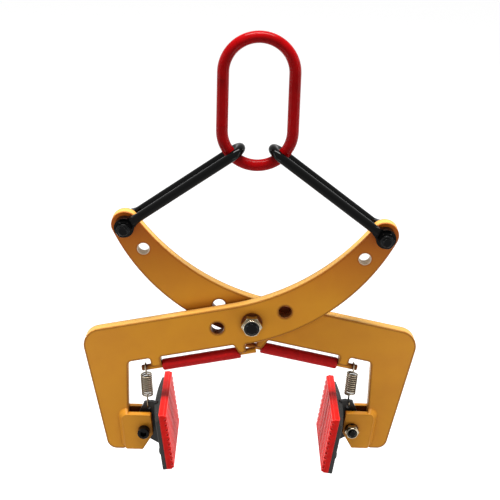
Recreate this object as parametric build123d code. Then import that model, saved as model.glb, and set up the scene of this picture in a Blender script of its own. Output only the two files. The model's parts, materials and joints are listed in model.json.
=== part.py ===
from build123d import *
import os
from math import atan2, cos, degrees, hypot, pi, radians, sin, sqrt, tan

# A kerb lifting clamp, in millimetres.
# The origin is the hook's seat: the top of the master link's eye, +Z up.
# The viewer's side is -Y; the front arm carries the left jaw, the back arm the right jaw.

# Master link
RING_ROD = 15.0
RING_EYE_WIDTH = 74.0
RING_EYE_LENGTH = 148.0
RING_FLAT_LENGTH = 58.0
RING_FLAT_DEPTH = 0.9

# Hairpin links
LINK_ROD = 12.0
LINK_REACH = 181.6
LINK_SEAT_ANGLE = 42.0
LINK_RING_PLAY = 0.3
LINK_EYE_D = 26.0
LINK_FLARE = 24.0
LINK_FLARE_START_W = 7.0
LINK_FLARE_END_W = 22.0
LINK_FLARE_T = 9.0
LINK_SIDE_PLAY = 0.5

# Arm plates
PLATE_T = 16.0
ARM_GAP = 1.0
EDGE_BREAK = 0.8
ARM_END_X = 167.5
ARM_END_Z = 126.5
ARM_END_R = 18.0
LIMB_TOP_R = 300.0
LIMB_LOW_R = 276.0
JAW_SLOPE = 11.6
JAW_TOP = 26.0
JAW_LOW = -28.0
JAW_REACH = 226.0
JAW_CORNER_R = 24.0
HUB_LOW = -29.5
HUB_END = -1.0
LEG_FOOT_WIDTH = 27.3
LEG_FOOT_Z = -194.5
LEG_FOOT_R = 14.0
LEG_TOE_R = 9.0
WINDOW_R = 3.0
WINDOW_LEG_R = 5.5
OUTER_NECK_SETBACK = 83.0
OUTER_NECK_WIDTH = 13.5
INNER_NECK_NEAR = 15.0
INNER_NECK_WIDTH = 9.0
INNER_NECK_FLARE = 5.5
NECK_SEAT = 2.0
JAW_SPARE_HOLE = 46.0
LIMB_SPARE_HOLE_S = -46.0
LIMB_SPARE_HOLE_N = 7.5
UPPER_SPARE_INSET = 23.9
UPPER_SPARE_DROP = 32.3

# Bumper bar and its sleeve
BAR_D = 8.0
BAR_AXIS = -43.4
BAR_START = 2.0
BAR_OVERHANG = 14.5
BAR_CHAMFER = 0.8
SLEEVE_D = 15.6
SLEEVE_PLAY = 0.15
SLEEVE_END_PLAY = 0.4

# Cheek plates that carry the pads
CHEEK_T = 8.0
PAD_PIVOT_SETBACK = 21.5
PAD_PIVOT_RISE = 33.5
CHEEK_TOP = 24.0
CHEEK_TOP_NOSE = 9.4
CHEEK_NOSE = 12.6
CHEEK_NOSE_DROP = 5.0
CHEEK_FOOT_RISE = 3.8
CHEEK_FOOT_START = 1.5
CHEEK_LAP_FLAT = 2.0
CHEEK_FOOT_LAP = 3.5
CHEEK_CORNER_R = 7.0
CHEEK_NOSE_R = 2.0
CHEEK_FOOT_R = 3.0
WELD_LEG = 5.0
WELD_CROWN = 0.6
WELD_SETBACK = 0.4

# Gripping pads
PAD_TILT = 8.0
PAD_WIDTH = 130.0
PAD_BACK = 28.5
PAD_TOP = 42.0
PAD_FOOT = -40.5
PAD_BASE_T = 7.0
RIB_HEIGHT = 3.0
RIB_COUNT = 11
RIB_CREST = 0.45
RIB_ROOT = 0.25
BACKING_T = 5.5
BACKING_DROP = 9.0
BACKING_INSET = 1.5
BACKING_BREAK = 0.8
STIFFENER_T = 6.0
STIFFENER_DEPTH = 4.5
STIFFENER_INSET = 2.0
LUG_T = 6.0
LUG_HOOK_X = 9.2
LUG_HOOK_Z = 32.6
LUG_LIGAMENT = 3.0
LUG_HEAD_NEAR = 5.2
LUG_HEAD_FAR = 5.6
LUG_SHOULDER_R = 3.0
LUG_EYE_D = 5.0
LUG_HEEL_X = -13.0
LUG_HEEL_LENGTH = 13.0
LUG_HEEL_R = 6.0
LUG_FOOT_RISE = 5.5
BOSS_WALL = 3.0
BOSS_SIDE_PLAY = 0.3
PAD_BUSH_WALL = 1.95
SCREW_D = 5.0
SCREW_HEAD_D = 9.5
SCREW_HEAD_T = 2.7
SCREW_HEAD_R = 1.4
SCREW_SOCKET_AF = 3.0
SCREW_SOCKET_DEPTH = 1.6
SCREW_BITE = 4.6
SCREW_PLAY = 0.1
SCREW_EDGE = 15.0
SCREW_INNER_Y = 23.0
SCREW_Z = -19.0

# Return springs
WIRE_D = 2.0
COIL_D = 16.0
COIL_PITCH = 3.0
COIL_LEAD = 1.6
HOOK_PLAY = 0.6
HOOK_SWEEP = 292.0
LOWER_SHANK = 6.3
UPPER_SHANK = 3.0
HOOK_SETBACK = 5.0
LEAST_COIL_GAP = 0.4
GAP_SAMPLES = 12

# Bolts, lock nuts, washers and bushes
PIVOT_BOLT_D = 16.0
PIVOT_AF = 24.0
PIVOT_HEAD_T = 10.0
PIVOT_NUT_HEX = 11.0
PIVOT_NUT_T = 16.0
PIVOT_END = 2.0
PIVOT_WASHER_D = 28.0
PIVOT_WASHER_T = 3.0
PIVOT_BUSH_WALL = 0.6
PIVOT_SIDE_PLAY = 0.2
DISC_D = 44.0
DISC_PLAY = 0.1
LINK_BOLT_D = 12.0
LINK_AF = 19.0
LINK_HEAD_T = 7.5
LINK_NUT_HEX = 8.0
LINK_NUT_T = 12.0
LINK_END = 3.0
LINK_BUSH_WALL = 1.6
PAD_BOLT_D = 10.0
PAD_AF = 17.0
PAD_HEAD_D = 16.0
PAD_HEAD_T = 10.0
PAD_SOCKET_AF = 8.0
PAD_SOCKET_DEPTH = 5.0
PAD_NUT_HEX = 6.8
PAD_NUT_T = 10.0
PAD_END = 2.0
PAD_WASHER_D = 18.5
PAD_WASHER_T = 2.0
BOLT_HOLE_PLAY = 0.1
RUNNING_PLAY = 0.05
COLLAR_WALL = 1.0
INSERT_SETBACK = 0.8
COLLAR_SHARE = 0.94
COLLAR_ROUND = 0.8
END_CHAMFER = 1.0
HEX_CHAMFER_ANGLE = 30.0
HEX_FACE_SHARE = 0.95
HEX_SIDES = 6

# Places that follow from the sizes above
RING_R = RING_EYE_WIDTH / 2
RING_LOW_Z = RING_R - RING_EYE_LENGTH
SEAT_R = RING_R - LINK_ROD / 2 - LINK_RING_PLAY
SEAT_X = SEAT_R * sin(radians(LINK_SEAT_ANGLE))
SEAT_Z = RING_LOW_Z - SEAT_R * cos(radians(LINK_SEAT_ANGLE))
LINK_BOLT_Z = SEAT_Z - sqrt(LINK_REACH**2 - (ARM_END_X - SEAT_X) ** 2)
PIVOT_Z = LINK_BOLT_Z - ARM_END_Z
ARM_MID_Y = (ARM_GAP + PLATE_T) / 2
ARM_NEAR_Y = ARM_GAP / 2
ARM_FAR_Y = ARM_NEAR_Y + PLATE_T
JAW_COS = cos(radians(JAW_SLOPE))
JAW_SIN = sin(radians(JAW_SLOPE))
LEG_HEEL_X = (JAW_REACH + LEG_FOOT_Z * JAW_SIN) / JAW_COS
LEG_INNER_X = LEG_HEEL_X - LEG_FOOT_WIDTH
OUTER_NECK_FAR = JAW_REACH - OUTER_NECK_SETBACK
OUTER_NECK_NEAR = OUTER_NECK_FAR - OUTER_NECK_WIDTH
INNER_NECK_FAR = INNER_NECK_NEAR + INNER_NECK_WIDTH
INNER_NECK_ROOT = INNER_NECK_FAR + INNER_NECK_FLARE
BAR_END = OUTER_NECK_FAR + BAR_OVERHANG
HOOK_S = BAR_END - HOOK_SETBACK
PAD_PIVOT_X = LEG_INNER_X - PAD_PIVOT_SETBACK
PAD_PIVOT_Z = LEG_FOOT_Z + PAD_PIVOT_RISE
CHEEK_TOP_LAP = CHEEK_CORNER_R + WELD_SETBACK + CHEEK_LAP_FLAT
WELD_RISE = CHEEK_T - EDGE_BREAK - WELD_SETBACK
PIVOT_HOLE_D = PIVOT_BOLT_D + 2 * (BOLT_HOLE_PLAY + PIVOT_BUSH_WALL + RUNNING_PLAY)
LINK_HOLE_D = LINK_BOLT_D + 2 * (BOLT_HOLE_PLAY + LINK_BUSH_WALL + RUNNING_PLAY)
PAD_BUSH_D = PAD_BOLT_D + 2 * (RUNNING_PLAY + PAD_BUSH_WALL)
LINK_HALF_GAP = max(PLATE_T, RING_ROD) / 2 + LINK_SIDE_PLAY
LINK_BEND_R = LINK_HALF_GAP + LINK_ROD / 2
HOOK_R = BAR_D / 2 + HOOK_PLAY + WIRE_D / 2
COIL_R = (COIL_D - WIRE_D) / 2
BACKING_TOP = PAD_TOP - BACKING_DROP
BACKING_BACK = PAD_BACK - BACKING_T


def jaw_point(along, above):
    """A point of the left jaw: along it from the pivot, and above its centre line."""
    return (-along * JAW_COS - above * JAW_SIN, PIVOT_Z - along * JAW_SIN + above * JAW_COS)


def facing_front(x, y, z):
    """A plane at a point whose normal looks at the viewer and whose second axis is up."""
    return Plane(origin=(x, y, z), x_dir=(1, 0, 0), z_dir=(0, -1, 0))


def facing_back(x, y, z):
    """A plane at a point whose normal looks away from the viewer."""
    return Plane(origin=(x, y, z), x_dir=(1, 0, 0), z_dir=(0, 1, 0))


def slab(outline, y_low, y_high):
    """An outline drawn in x and z, made solid between two depths."""
    return facing_front(0, y_high, 0) * extrude(outline, y_high - y_low)


def pin(x, z, diameter, y_low, y_high):
    """A round pin or hole that runs front to back."""
    return slab(Pos(x, z) * Circle(diameter / 2), y_low, y_high)


def tube(outer, inner, height):
    """A plain ring that stands on its end."""
    return extrude(Circle(outer / 2) - Circle(inner / 2), height)


def turned(piece):
    """The same piece on the other arm: half a turn about the vertical centre line."""
    return Rot(0, 0, 180) * piece


def meet(centre_a, radius_a, centre_b, radius_b, side):
    """The crossing of two circles that lies on the given side of the line between them."""
    dx = centre_b[0] - centre_a[0]
    dz = centre_b[1] - centre_a[1]
    span = hypot(dx, dz)
    reach = (span**2 + radius_a**2 - radius_b**2) / (2 * span)
    rise = side * sqrt(radius_a**2 - reach**2)
    x = centre_a[0] + (reach * dx - rise * dz) / span
    z = centre_a[1] + (reach * dz + rise * dx) / span
    return (x, z)


def toward(start, goal, distance):
    """The point that lies a distance from the start on the way to the goal."""
    dx = goal[0] - start[0]
    dz = goal[1] - start[1]
    span = hypot(dx, dz)
    return (start[0] + dx / span * distance, start[1] + dz / span * distance)


def arc_about(centre, start, end):
    """The shorter arc about a centre between two points on its circle."""
    radius = hypot(start[0] - centre[0], start[1] - centre[1])
    middle = ((start[0] + end[0]) / 2, (start[1] + end[1]) / 2)
    return ThreePointArc(start, toward(centre, middle, radius), end)


def softened(plate, size):
    """A plate whose outline edges are broken on both faces."""
    low = plate.faces().sort_by(Axis.Y)[0].edges()
    high = plate.faces().sort_by(Axis.Y)[-1].edges()
    return chamfer(low + high, size)


def master_link():
    """One forged oblong ring with a plain flat on its left side."""
    mean = RING_R + RING_ROD / 2
    top = -RING_R
    low = RING_LOW_Z
    path = [
        Line((mean, 0, low), (mean, 0, top)),
        ThreePointArc((mean, 0, top), (0, 0, top + mean), (-mean, 0, top)),
        Line((-mean, 0, top), (-mean, 0, low)),
        ThreePointArc((-mean, 0, low), (0, 0, low - mean), (mean, 0, low)),
    ]
    section = Plane(origin=(mean, 0, low), z_dir=(0, 0, 1)) * Circle(RING_ROD / 2)
    ring = sweep(section, Wire(path))
    face = -RING_ROD / 2 + RING_FLAT_DEPTH
    cut = Box(RING_ROD, RING_ROD, RING_FLAT_LENGTH, align=(Align.CENTER, Align.MAX, Align.CENTER))
    return ring - Pos(-mean, face, (top + low) / 2) * cut


def hairpin():
    """The right link: a bent rod from the ring to an eye on each side of the arm's end."""
    run = Vector(ARM_END_X - SEAT_X, 0, LINK_BOLT_Z - SEAT_Z)
    lean = atan2(-ARM_MID_Y, run.length)
    flat = run.normalized()
    ahead = flat * cos(lean) + Vector(0, sin(lean), 0)
    side = Vector(0, cos(lean), 0) - flat * sin(lean)
    seat = Vector(SEAT_X, 0, SEAT_Z)
    bend = seat + ahead * LINK_BEND_R
    starts = [bend - side * LINK_BEND_R, bend + side * LINK_BEND_R]
    ends = []
    for start in starts:
        left = (run.length - (start - seat).dot(flat)) / cos(lean)
        ends.append(start + ahead * left)
    path = [
        Line(ends[0], starts[0]),
        ThreePointArc(starts[0], seat, starts[1]),
        Line(starts[1], ends[1]),
    ]
    section = Plane(origin=ends[0], z_dir=ahead * -1) * Circle(LINK_ROD / 2)
    rod = sweep(section, Wire(path))
    turn = degrees(atan2(flat.Z, flat.X))
    narrow = LINK_FLARE_START_W / 2
    wide = LINK_FLARE_END_W / 2
    flare = Rot(0, 0, turn) * Polygon(
        (-LINK_FLARE, -narrow), (0, -wide), (0, wide), (-LINK_FLARE, narrow), align=None
    )
    eye = Circle(LINK_EYE_D / 2)
    hole = Circle(LINK_BOLT_D / 2 + BOLT_HOLE_PLAY)
    place = Pos(ARM_END_X, LINK_BOLT_Z)
    middle = -ARM_MID_Y
    inside = LINK_HALF_GAP
    outside = inside + LINK_ROD
    beyond = outside + LINK_ROD
    thin = (LINK_ROD - LINK_FLARE_T) / 2
    for low, high in ((-outside, -inside), (inside, outside)):
        rod += slab(place * eye, middle + low, middle + high)
        rod += slab(place * flare, middle + low + thin, middle + high - thin)
    for low, high in ((-beyond, -outside), (-inside, inside), (outside, beyond)):
        rod -= slab(place * Circle(LINK_EYE_D), middle + low, middle + high)
    return rod - slab(place * hole, middle - beyond, middle + beyond)


def arm_plate():
    """The front arm: the left jaw with its leg, the hub, and the curved limb to the right."""
    end = (ARM_END_X, LINK_BOLT_Z)
    end_s = -ARM_END_X * JAW_COS - ARM_END_Z * JAW_SIN
    end_n = -ARM_END_X * JAW_SIN + ARM_END_Z * JAW_COS
    rise = JAW_TOP + LIMB_TOP_R
    blend = end_s + sqrt((LIMB_TOP_R + ARM_END_R) ** 2 - (rise - end_n) ** 2)
    over = jaw_point(blend, rise)
    hub = jaw_point(HUB_END, HUB_LOW)
    under = meet(end, LIMB_LOW_R - ARM_END_R, hub, LIMB_LOW_R, -1)
    high = toward(end, over, ARM_END_R)
    low = toward(end, under, -ARM_END_R)
    tip = toward(end, (end[0] + high[1] - end[1], end[1] - high[0] + end[0]), ARM_END_R)
    foot = PIVOT_Z + LEG_FOOT_Z
    window = PIVOT_Z + (JAW_LOW - LEG_INNER_X * JAW_SIN) / JAW_COS
    neck = BAR_AXIS + NECK_SEAT
    corners = [
        (jaw_point(JAW_REACH, JAW_TOP), JAW_CORNER_R),
        ((-LEG_HEEL_X, foot), LEG_FOOT_R),
        ((-LEG_INNER_X, foot), LEG_TOE_R),
        ((-LEG_INNER_X, window), WINDOW_LEG_R),
        (jaw_point(OUTER_NECK_FAR, JAW_LOW), WINDOW_R),
        (jaw_point(OUTER_NECK_FAR, neck), 0),
        (jaw_point(OUTER_NECK_NEAR, neck), 0),
        (jaw_point(OUTER_NECK_NEAR, JAW_LOW), WINDOW_R),
        (jaw_point(INNER_NECK_ROOT, JAW_LOW), WINDOW_R),
        (jaw_point(INNER_NECK_FAR, neck), 0),
        (jaw_point(INNER_NECK_NEAR, neck), 0),
        (jaw_point(INNER_NECK_NEAR, HUB_LOW), WINDOW_R),
    ]
    start = jaw_point(blend, JAW_TOP)
    path = [start] + [corner for corner, radius in corners] + [hub]
    edges = [
        arc_about(over, high, start),
        FilletPolyline(*path, radius=[radius for corner, radius in corners]),
        arc_about(under, hub, low),
        ThreePointArc(low, tip, high),
    ]
    plate = softened(slab(make_face(edges), -ARM_FAR_Y, -ARM_NEAR_Y), EDGE_BREAK)
    holes = [
        ((0, PIVOT_Z), PIVOT_HOLE_D),
        (end, LINK_HOLE_D),
        ((ARM_END_X - UPPER_SPARE_INSET, LINK_BOLT_Z - UPPER_SPARE_DROP), LINK_HOLE_D),
        (jaw_point(JAW_SPARE_HOLE, 0), PIVOT_HOLE_D),
        (jaw_point(LIMB_SPARE_HOLE_S, LIMB_SPARE_HOLE_N), PIVOT_HOLE_D),
    ]
    for centre, diameter in holes:
        plate -= pin(centre[0], centre[1], diameter, -ARM_FAR_Y, -ARM_NEAR_Y)
    return plate - along_bar(BAR_D, BAR_START, BAR_END)


def along_bar(diameter, start, end):
    """A round bar on the bumper's line, between two distances from the pivot."""
    first = jaw_point(start, BAR_AXIS)
    last = jaw_point(end, BAR_AXIS)
    frame = Plane(
        origin=(first[0], -ARM_MID_Y, first[1]),
        x_dir=(0, 1, 0),
        z_dir=(last[0] - first[0], 0, last[1] - first[1]),
    )
    return frame * extrude(Circle(diameter / 2), end - start)


def bumper_bar():
    """The round bar welded below the jaw's two necks."""
    bar = along_bar(BAR_D, BAR_START, BAR_END)
    return chamfer(bar.edges().filter_by(GeomType.CIRCLE), BAR_CHAMFER)


def bumper_sleeve():
    """The soft tube on the bar, cut to follow the flank of the inner neck."""
    neck = BAR_AXIS + NECK_SEAT
    slant = (INNER_NECK_ROOT - INNER_NECK_FAR) / (JAW_LOW - neck)
    reach = SLEEVE_D / 2
    near = INNER_NECK_FAR + slant * (BAR_AXIS - neck) + SLEEVE_END_PLAY
    far = OUTER_NECK_NEAR - SLEEVE_END_PLAY
    blank = along_bar(SLEEVE_D, near - reach, far)
    blank -= along_bar(BAR_D + 2 * SLEEVE_PLAY, near - reach, far)
    cut = Polyline(
        jaw_point(near + slant * reach, BAR_AXIS + reach),
        jaw_point(near - slant * reach, BAR_AXIS - reach),
        jaw_point(near - 2 * reach, BAR_AXIS - reach),
        jaw_point(near - 2 * reach, BAR_AXIS + reach),
        close=True,
    )
    return blank - slab(make_face(cut), -ARM_MID_Y - SLEEVE_D, -ARM_MID_Y + SLEEVE_D)


def cheek_corners():
    """The corners of a cheek on the left leg, each with its rounding."""
    top = PIVOT_Z + PAD_PIVOT_Z + CHEEK_TOP
    foot = PIVOT_Z + LEG_FOOT_Z + CHEEK_FOOT_RISE
    nose = PIVOT_Z + PAD_PIVOT_Z - CHEEK_NOSE_DROP
    return [
        ((-PAD_PIVOT_X + CHEEK_TOP_NOSE, top), CHEEK_NOSE_R),
        ((-LEG_INNER_X - CHEEK_TOP_LAP, top), CHEEK_CORNER_R),
        ((-LEG_INNER_X - CHEEK_FOOT_LAP, foot), CHEEK_FOOT_R),
        ((-PAD_PIVOT_X - CHEEK_FOOT_START, foot), CHEEK_NOSE_R),
        ((-PAD_PIVOT_X + CHEEK_NOSE, nose), CHEEK_NOSE_R),
    ]


def cheek(y_low, y_high, outside):
    """A plate welded to the face of the leg, with the pad bolt's hole."""
    corners = cheek_corners()
    path = FilletPolyline(
        *[corner for corner, radius in corners],
        radius=[radius for corner, radius in corners],
        close=True,
    )
    plate = slab(make_face(path), y_low, y_high)
    plate = chamfer(plate.faces().sort_by(Axis.Y)[outside].edges(), EDGE_BREAK)
    hole = PAD_BOLT_D + 2 * BOLT_HOLE_PLAY
    return plate - pin(-PAD_PIVOT_X, PIVOT_Z + PAD_PIVOT_Z, hole, y_low, y_high)


def cheek_weld():
    """The fillet weld round the outer edge of the outer cheek."""
    corners = cheek_corners()
    top = corners[1][0]
    foot = corners[2][0]
    start = (-LEG_INNER_X - WELD_SETBACK, top[1])
    stop = toward(foot, top, CHEEK_FOOT_R)
    face = -ARM_FAR_Y
    run = FilletPolyline(
        (start[0], face, start[1]),
        (top[0], face, top[1]),
        (stop[0], face, stop[1]),
        radius=[CHEEK_CORNER_R],
    )
    crown = (WELD_LEG / 2 + WELD_CROWN, -WELD_RISE / 2 - WELD_CROWN)
    bead = make_face(
        [
            Line((0, 0), (WELD_LEG, 0)),
            ThreePointArc((WELD_LEG, 0), crown, (0, -WELD_RISE)),
            Line((0, -WELD_RISE), (0, 0)),
        ]
    )
    frame = Plane(origin=(start[0], face, start[1]), x_dir=(0, 0, 1), z_dir=(-1, 0, 0))
    return sweep(frame * bead, run)


def mirror_weld(weld):
    """The same weld on the far face of the arm."""
    return mirror(weld, Plane(origin=(0, -ARM_MID_Y, 0), z_dir=(0, 1, 0)))


def hex_prism(across_flats, height, both_ends):
    """A hexagon whose corners are turned off at one end or at both."""
    flat = across_flats / 2
    corner = across_flats / sqrt(3)
    face = flat * HEX_FACE_SHARE
    drop = (corner - face) * tan(radians(HEX_CHAMFER_ANGLE))
    upper = [(corner, height)]
    if both_ends:
        upper = [(corner, height - drop), (face, height)]
    profile = Polyline((0, 0), (face, 0), (corner, drop), *upper, (0, height), close=True)
    turning = revolve(Plane.XZ * make_face(profile), Axis.Z)
    prism = extrude(RegularPolygon(flat, HEX_SIDES, major_radius=False), height)
    return prism & turning


def collar_recess(across_flats):
    """The width of the recess in a lock nut's collar."""
    return across_flats * COLLAR_SHARE - 2 * COLLAR_WALL


def lock_nut(diameter, across_flats, hex_height, height):
    """A nut with a collar that holds a plastic ring; the bearing face is at zero."""
    body = hex_prism(across_flats, hex_height, False)
    collar = extrude(Circle(across_flats * COLLAR_SHARE / 2), height)
    body += fillet(collar.edges().sort_by(Axis.Z)[-1], COLLAR_ROUND)
    recess = collar_recess(across_flats)
    body -= Pos(0, 0, hex_height) * extrude(Circle(recess / 2), height - hex_height)
    return body - extrude(Circle(diameter / 2 + RUNNING_PLAY), height)


def lock_ring(diameter, across_flats, hex_height, height):
    """The plastic ring inside a lock nut's collar."""
    outer = collar_recess(across_flats)
    ring = tube(outer, diameter + 2 * RUNNING_PLAY, height - hex_height - INSERT_SETBACK)
    return Pos(0, 0, hex_height) * ring


def shank(diameter, length):
    """A bolt's shank that hangs below its head, with a chamfered end."""
    rod = extrude(Circle(diameter / 2), -length)
    return chamfer(rod.edges().sort_by(Axis.Z)[0], END_CHAMFER)


def hex_bolt(diameter, across_flats, head, length):
    """A bolt with a hexagon head above zero and its shank below."""
    return hex_prism(across_flats, head, True) + shank(diameter, length)


def socket_bolt(diameter, head_d, head, socket, depth, length):
    """A bolt with a round head and a hexagon socket."""
    cap = extrude(Circle(head_d / 2), head)
    cap = chamfer(cap.edges().sort_by(Axis.Z)[-1], EDGE_BREAK)
    key = extrude(RegularPolygon(socket / 2, HEX_SIDES, major_radius=False), -depth)
    return cap - Pos(0, 0, head) * key + shank(diameter, length)


def link_bolt_set(x, arm_y):
    """The bolt, nut, plastic ring and bush at one arm end, nut to the front."""
    half = LINK_HALF_GAP + LINK_ROD
    length = 2 * half + LINK_NUT_T + LINK_END
    head = facing_back(x, arm_y + half, LINK_BOLT_Z)
    nut = facing_front(x, arm_y - half, LINK_BOLT_Z)
    middle = facing_front(x, arm_y + LINK_HALF_GAP, LINK_BOLT_Z)
    bush = tube(LINK_HOLE_D - 2 * RUNNING_PLAY, LINK_BOLT_D + 2 * BOLT_HOLE_PLAY, 2 * LINK_HALF_GAP)
    return {
        "link_bolt": head * hex_bolt(LINK_BOLT_D, LINK_AF, LINK_HEAD_T, length),
        "link_nut": nut * lock_nut(LINK_BOLT_D, LINK_AF, LINK_NUT_HEX, LINK_NUT_T),
        "link_nut_ring": nut * lock_ring(LINK_BOLT_D, LINK_AF, LINK_NUT_HEX, LINK_NUT_T),
        "link_bush": middle * bush,
    }


def pivot_set():
    """The centre bolt with its nut, washers, bush and the disc between the arms."""
    half = ARM_FAR_Y + PIVOT_SIDE_PLAY
    outside = half + PIVOT_WASHER_T
    head = facing_back(0, outside, PIVOT_Z)
    nut = facing_front(0, -outside, PIVOT_Z)
    length = 2 * outside + PIVOT_NUT_T + PIVOT_END
    bore = PIVOT_BOLT_D + 2 * BOLT_HOLE_PLAY
    washer = tube(PIVOT_WASHER_D, bore, PIVOT_WASHER_T)
    bush = tube(PIVOT_HOLE_D - 2 * RUNNING_PLAY, bore, 2 * half)
    thin = ARM_GAP - 2 * DISC_PLAY
    disc = tube(DISC_D, PIVOT_HOLE_D, thin)
    washers = [facing_front(0, -half, PIVOT_Z) * washer, facing_back(0, half, PIVOT_Z) * washer]
    return {
        "pivot_bolt": head * hex_bolt(PIVOT_BOLT_D, PIVOT_AF, PIVOT_HEAD_T, length),
        "pivot_nut": nut * lock_nut(PIVOT_BOLT_D, PIVOT_AF, PIVOT_NUT_HEX, PIVOT_NUT_T),
        "pivot_nut_ring": nut * lock_ring(PIVOT_BOLT_D, PIVOT_AF, PIVOT_NUT_HEX, PIVOT_NUT_T),
        "pivot_washers": Compound(children=washers),
        "pivot_bush": facing_front(0, half, PIVOT_Z) * bush,
        "pivot_disc": facing_front(0, thin / 2, PIVOT_Z) * disc,
    }


def pad_bolt_set():
    """The left pad's bolt with its head to the front, and the nut and washer behind."""
    z = PIVOT_Z + PAD_PIVOT_Z
    front = -ARM_FAR_Y - CHEEK_T
    back = -ARM_NEAR_Y + CHEEK_T
    head = facing_front(-PAD_PIVOT_X, front, z)
    seat = facing_back(-PAD_PIVOT_X, back, z)
    nut = facing_back(-PAD_PIVOT_X, back + PAD_WASHER_T, z)
    length = back - front + PAD_WASHER_T + PAD_NUT_T + PAD_END
    bolt = socket_bolt(
        PAD_BOLT_D, PAD_HEAD_D, PAD_HEAD_T, PAD_SOCKET_AF, PAD_SOCKET_DEPTH, length
    )
    washer = tube(PAD_WASHER_D, PAD_BOLT_D + 2 * BOLT_HOLE_PLAY, PAD_WASHER_T)
    return {
        "pad_bolt": head * bolt,
        "pad_nut": nut * lock_nut(PAD_BOLT_D, PAD_AF, PAD_NUT_HEX, PAD_NUT_T),
        "pad_nut_ring": nut * lock_ring(PAD_BOLT_D, PAD_AF, PAD_NUT_HEX, PAD_NUT_T),
        "pad_washer": seat * washer,
    }


def pad_place():
    """Where the left pad hangs: its bolt's axis, leaning in at the foot."""
    return Pos(-PAD_PIVOT_X, 0, PIVOT_Z + PAD_PIVOT_Z) * Rot(0, -PAD_TILT, 0)


def screw_places():
    """The places of the pad screws along its width."""
    outer = PAD_WIDTH / 2 - SCREW_EDGE
    return [-outer, -SCREW_INNER_Y, SCREW_INNER_Y, outer]


def pad_face():
    """The soft gripping pad, with level ribs on its inner face."""
    root = PAD_BACK + PAD_BASE_T
    crest = root + RIB_HEIGHT
    pitch = (PAD_TOP - PAD_FOOT) / RIB_COUNT
    points = [(PAD_BACK, PAD_TOP), (PAD_BACK, PAD_FOOT), (root, PAD_FOOT)]
    for rib in range(RIB_COUNT):
        middle = PAD_FOOT + (rib + 0.5) * pitch
        foot = pitch * (1 - RIB_ROOT) / 2
        flat = pitch * RIB_CREST / 2
        points += [
            (root, middle - foot),
            (crest, middle - flat),
            (crest, middle + flat),
            (root, middle + foot),
        ]
    points.append((root, PAD_TOP))
    pad = slab(make_face(Polyline(*points, close=True)), -PAD_WIDTH / 2, PAD_WIDTH / 2)
    hole = extrude(Circle(SCREW_D / 2 + SCREW_PLAY), SCREW_BITE + SCREW_PLAY)
    for y in screw_places():
        pad -= Plane(origin=(PAD_BACK, y, SCREW_Z), z_dir=(1, 0, 0)) * hole
    return pad


def backing_plate():
    """The steel plate behind the soft pad, with its screw holes."""
    half = PAD_WIDTH / 2 - BACKING_INSET
    low = BACKING_BACK
    outline = Polyline(
        (low, PAD_FOOT), (PAD_BACK, PAD_FOOT), (PAD_BACK, BACKING_TOP), (low, BACKING_TOP), close=True
    )
    plate = slab(make_face(outline), -half, half)
    plate = chamfer(plate.faces().sort_by(Axis.X)[0].edges(), BACKING_BREAK)
    hole = extrude(Circle(SCREW_D / 2 + SCREW_PLAY), BACKING_T)
    for y in screw_places():
        plate -= Plane(origin=(low, y, SCREW_Z), z_dir=(1, 0, 0)) * hole
    return plate


def stiffeners():
    """The bowed flat behind the backing plate's top edge, in two parts beside the lug."""
    half = PAD_WIDTH / 2 - BACKING_INSET - STIFFENER_INSET
    bow = ThreePointArc(
        (BACKING_BACK, -half), (BACKING_BACK - STIFFENER_DEPTH, 0), (BACKING_BACK, half)
    )
    flat = make_face([bow, Line((BACKING_BACK, half), (BACKING_BACK, -half))])
    low = BACKING_TOP - BACKING_BREAK - STIFFENER_T
    bar = Pos(0, 0, low) * extrude(flat, STIFFENER_T)
    bar -= Pos(BACKING_BACK, -ARM_MID_Y, low) * Box(PAD_WIDTH, LUG_T, PAD_WIDTH)
    return Compound(children=bar.solids())


def pad_lug():
    """The plate that stands behind the pad, with the bolt's boss and the spring's eye."""
    back = BACKING_BACK
    top = LUG_HOOK_Z + LUG_LIGAMENT
    path = FilletPolyline(
        (back, PAD_FOOT + LUG_FOOT_RISE),
        (back, BACKING_TOP - BACKING_BREAK),
        (LUG_HOOK_X + LUG_HEAD_FAR, top),
        (LUG_HOOK_X - LUG_HEAD_NEAR, top),
        (LUG_HEEL_X, LUG_HEEL_LENGTH / 2),
        (LUG_HEEL_X, -LUG_HEEL_LENGTH / 2),
        radius=[0, LUG_SHOULDER_R, LUG_SHOULDER_R, LUG_SHOULDER_R, LUG_HEEL_R, LUG_HEEL_R],
        close=True,
    )
    eye = Pos(LUG_HOOK_X, LUG_HOOK_Z - HOOK_R) * Circle(LUG_EYE_D / 2)
    plate = make_face(path) - eye
    half = LUG_T / 2
    lug = slab(plate, -ARM_MID_Y - half, -ARM_MID_Y + half)
    reach = PLATE_T / 2 - BOSS_SIDE_PLAY
    boss = PAD_BUSH_D + 2 * BOSS_WALL
    lug += pin(0, 0, boss, -ARM_MID_Y - reach, -ARM_MID_Y + reach)
    return lug - pin(0, 0, PAD_BUSH_D, -ARM_MID_Y - reach, -ARM_MID_Y + reach)


def pad_bush():
    """The bearing bush pressed in the lug's boss."""
    reach = PLATE_T / 2 - BOSS_SIDE_PLAY
    return facing_front(0, -ARM_MID_Y + reach, 0) * tube(
        PAD_BUSH_D, PAD_BOLT_D + 2 * RUNNING_PLAY, 2 * reach
    )


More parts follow.
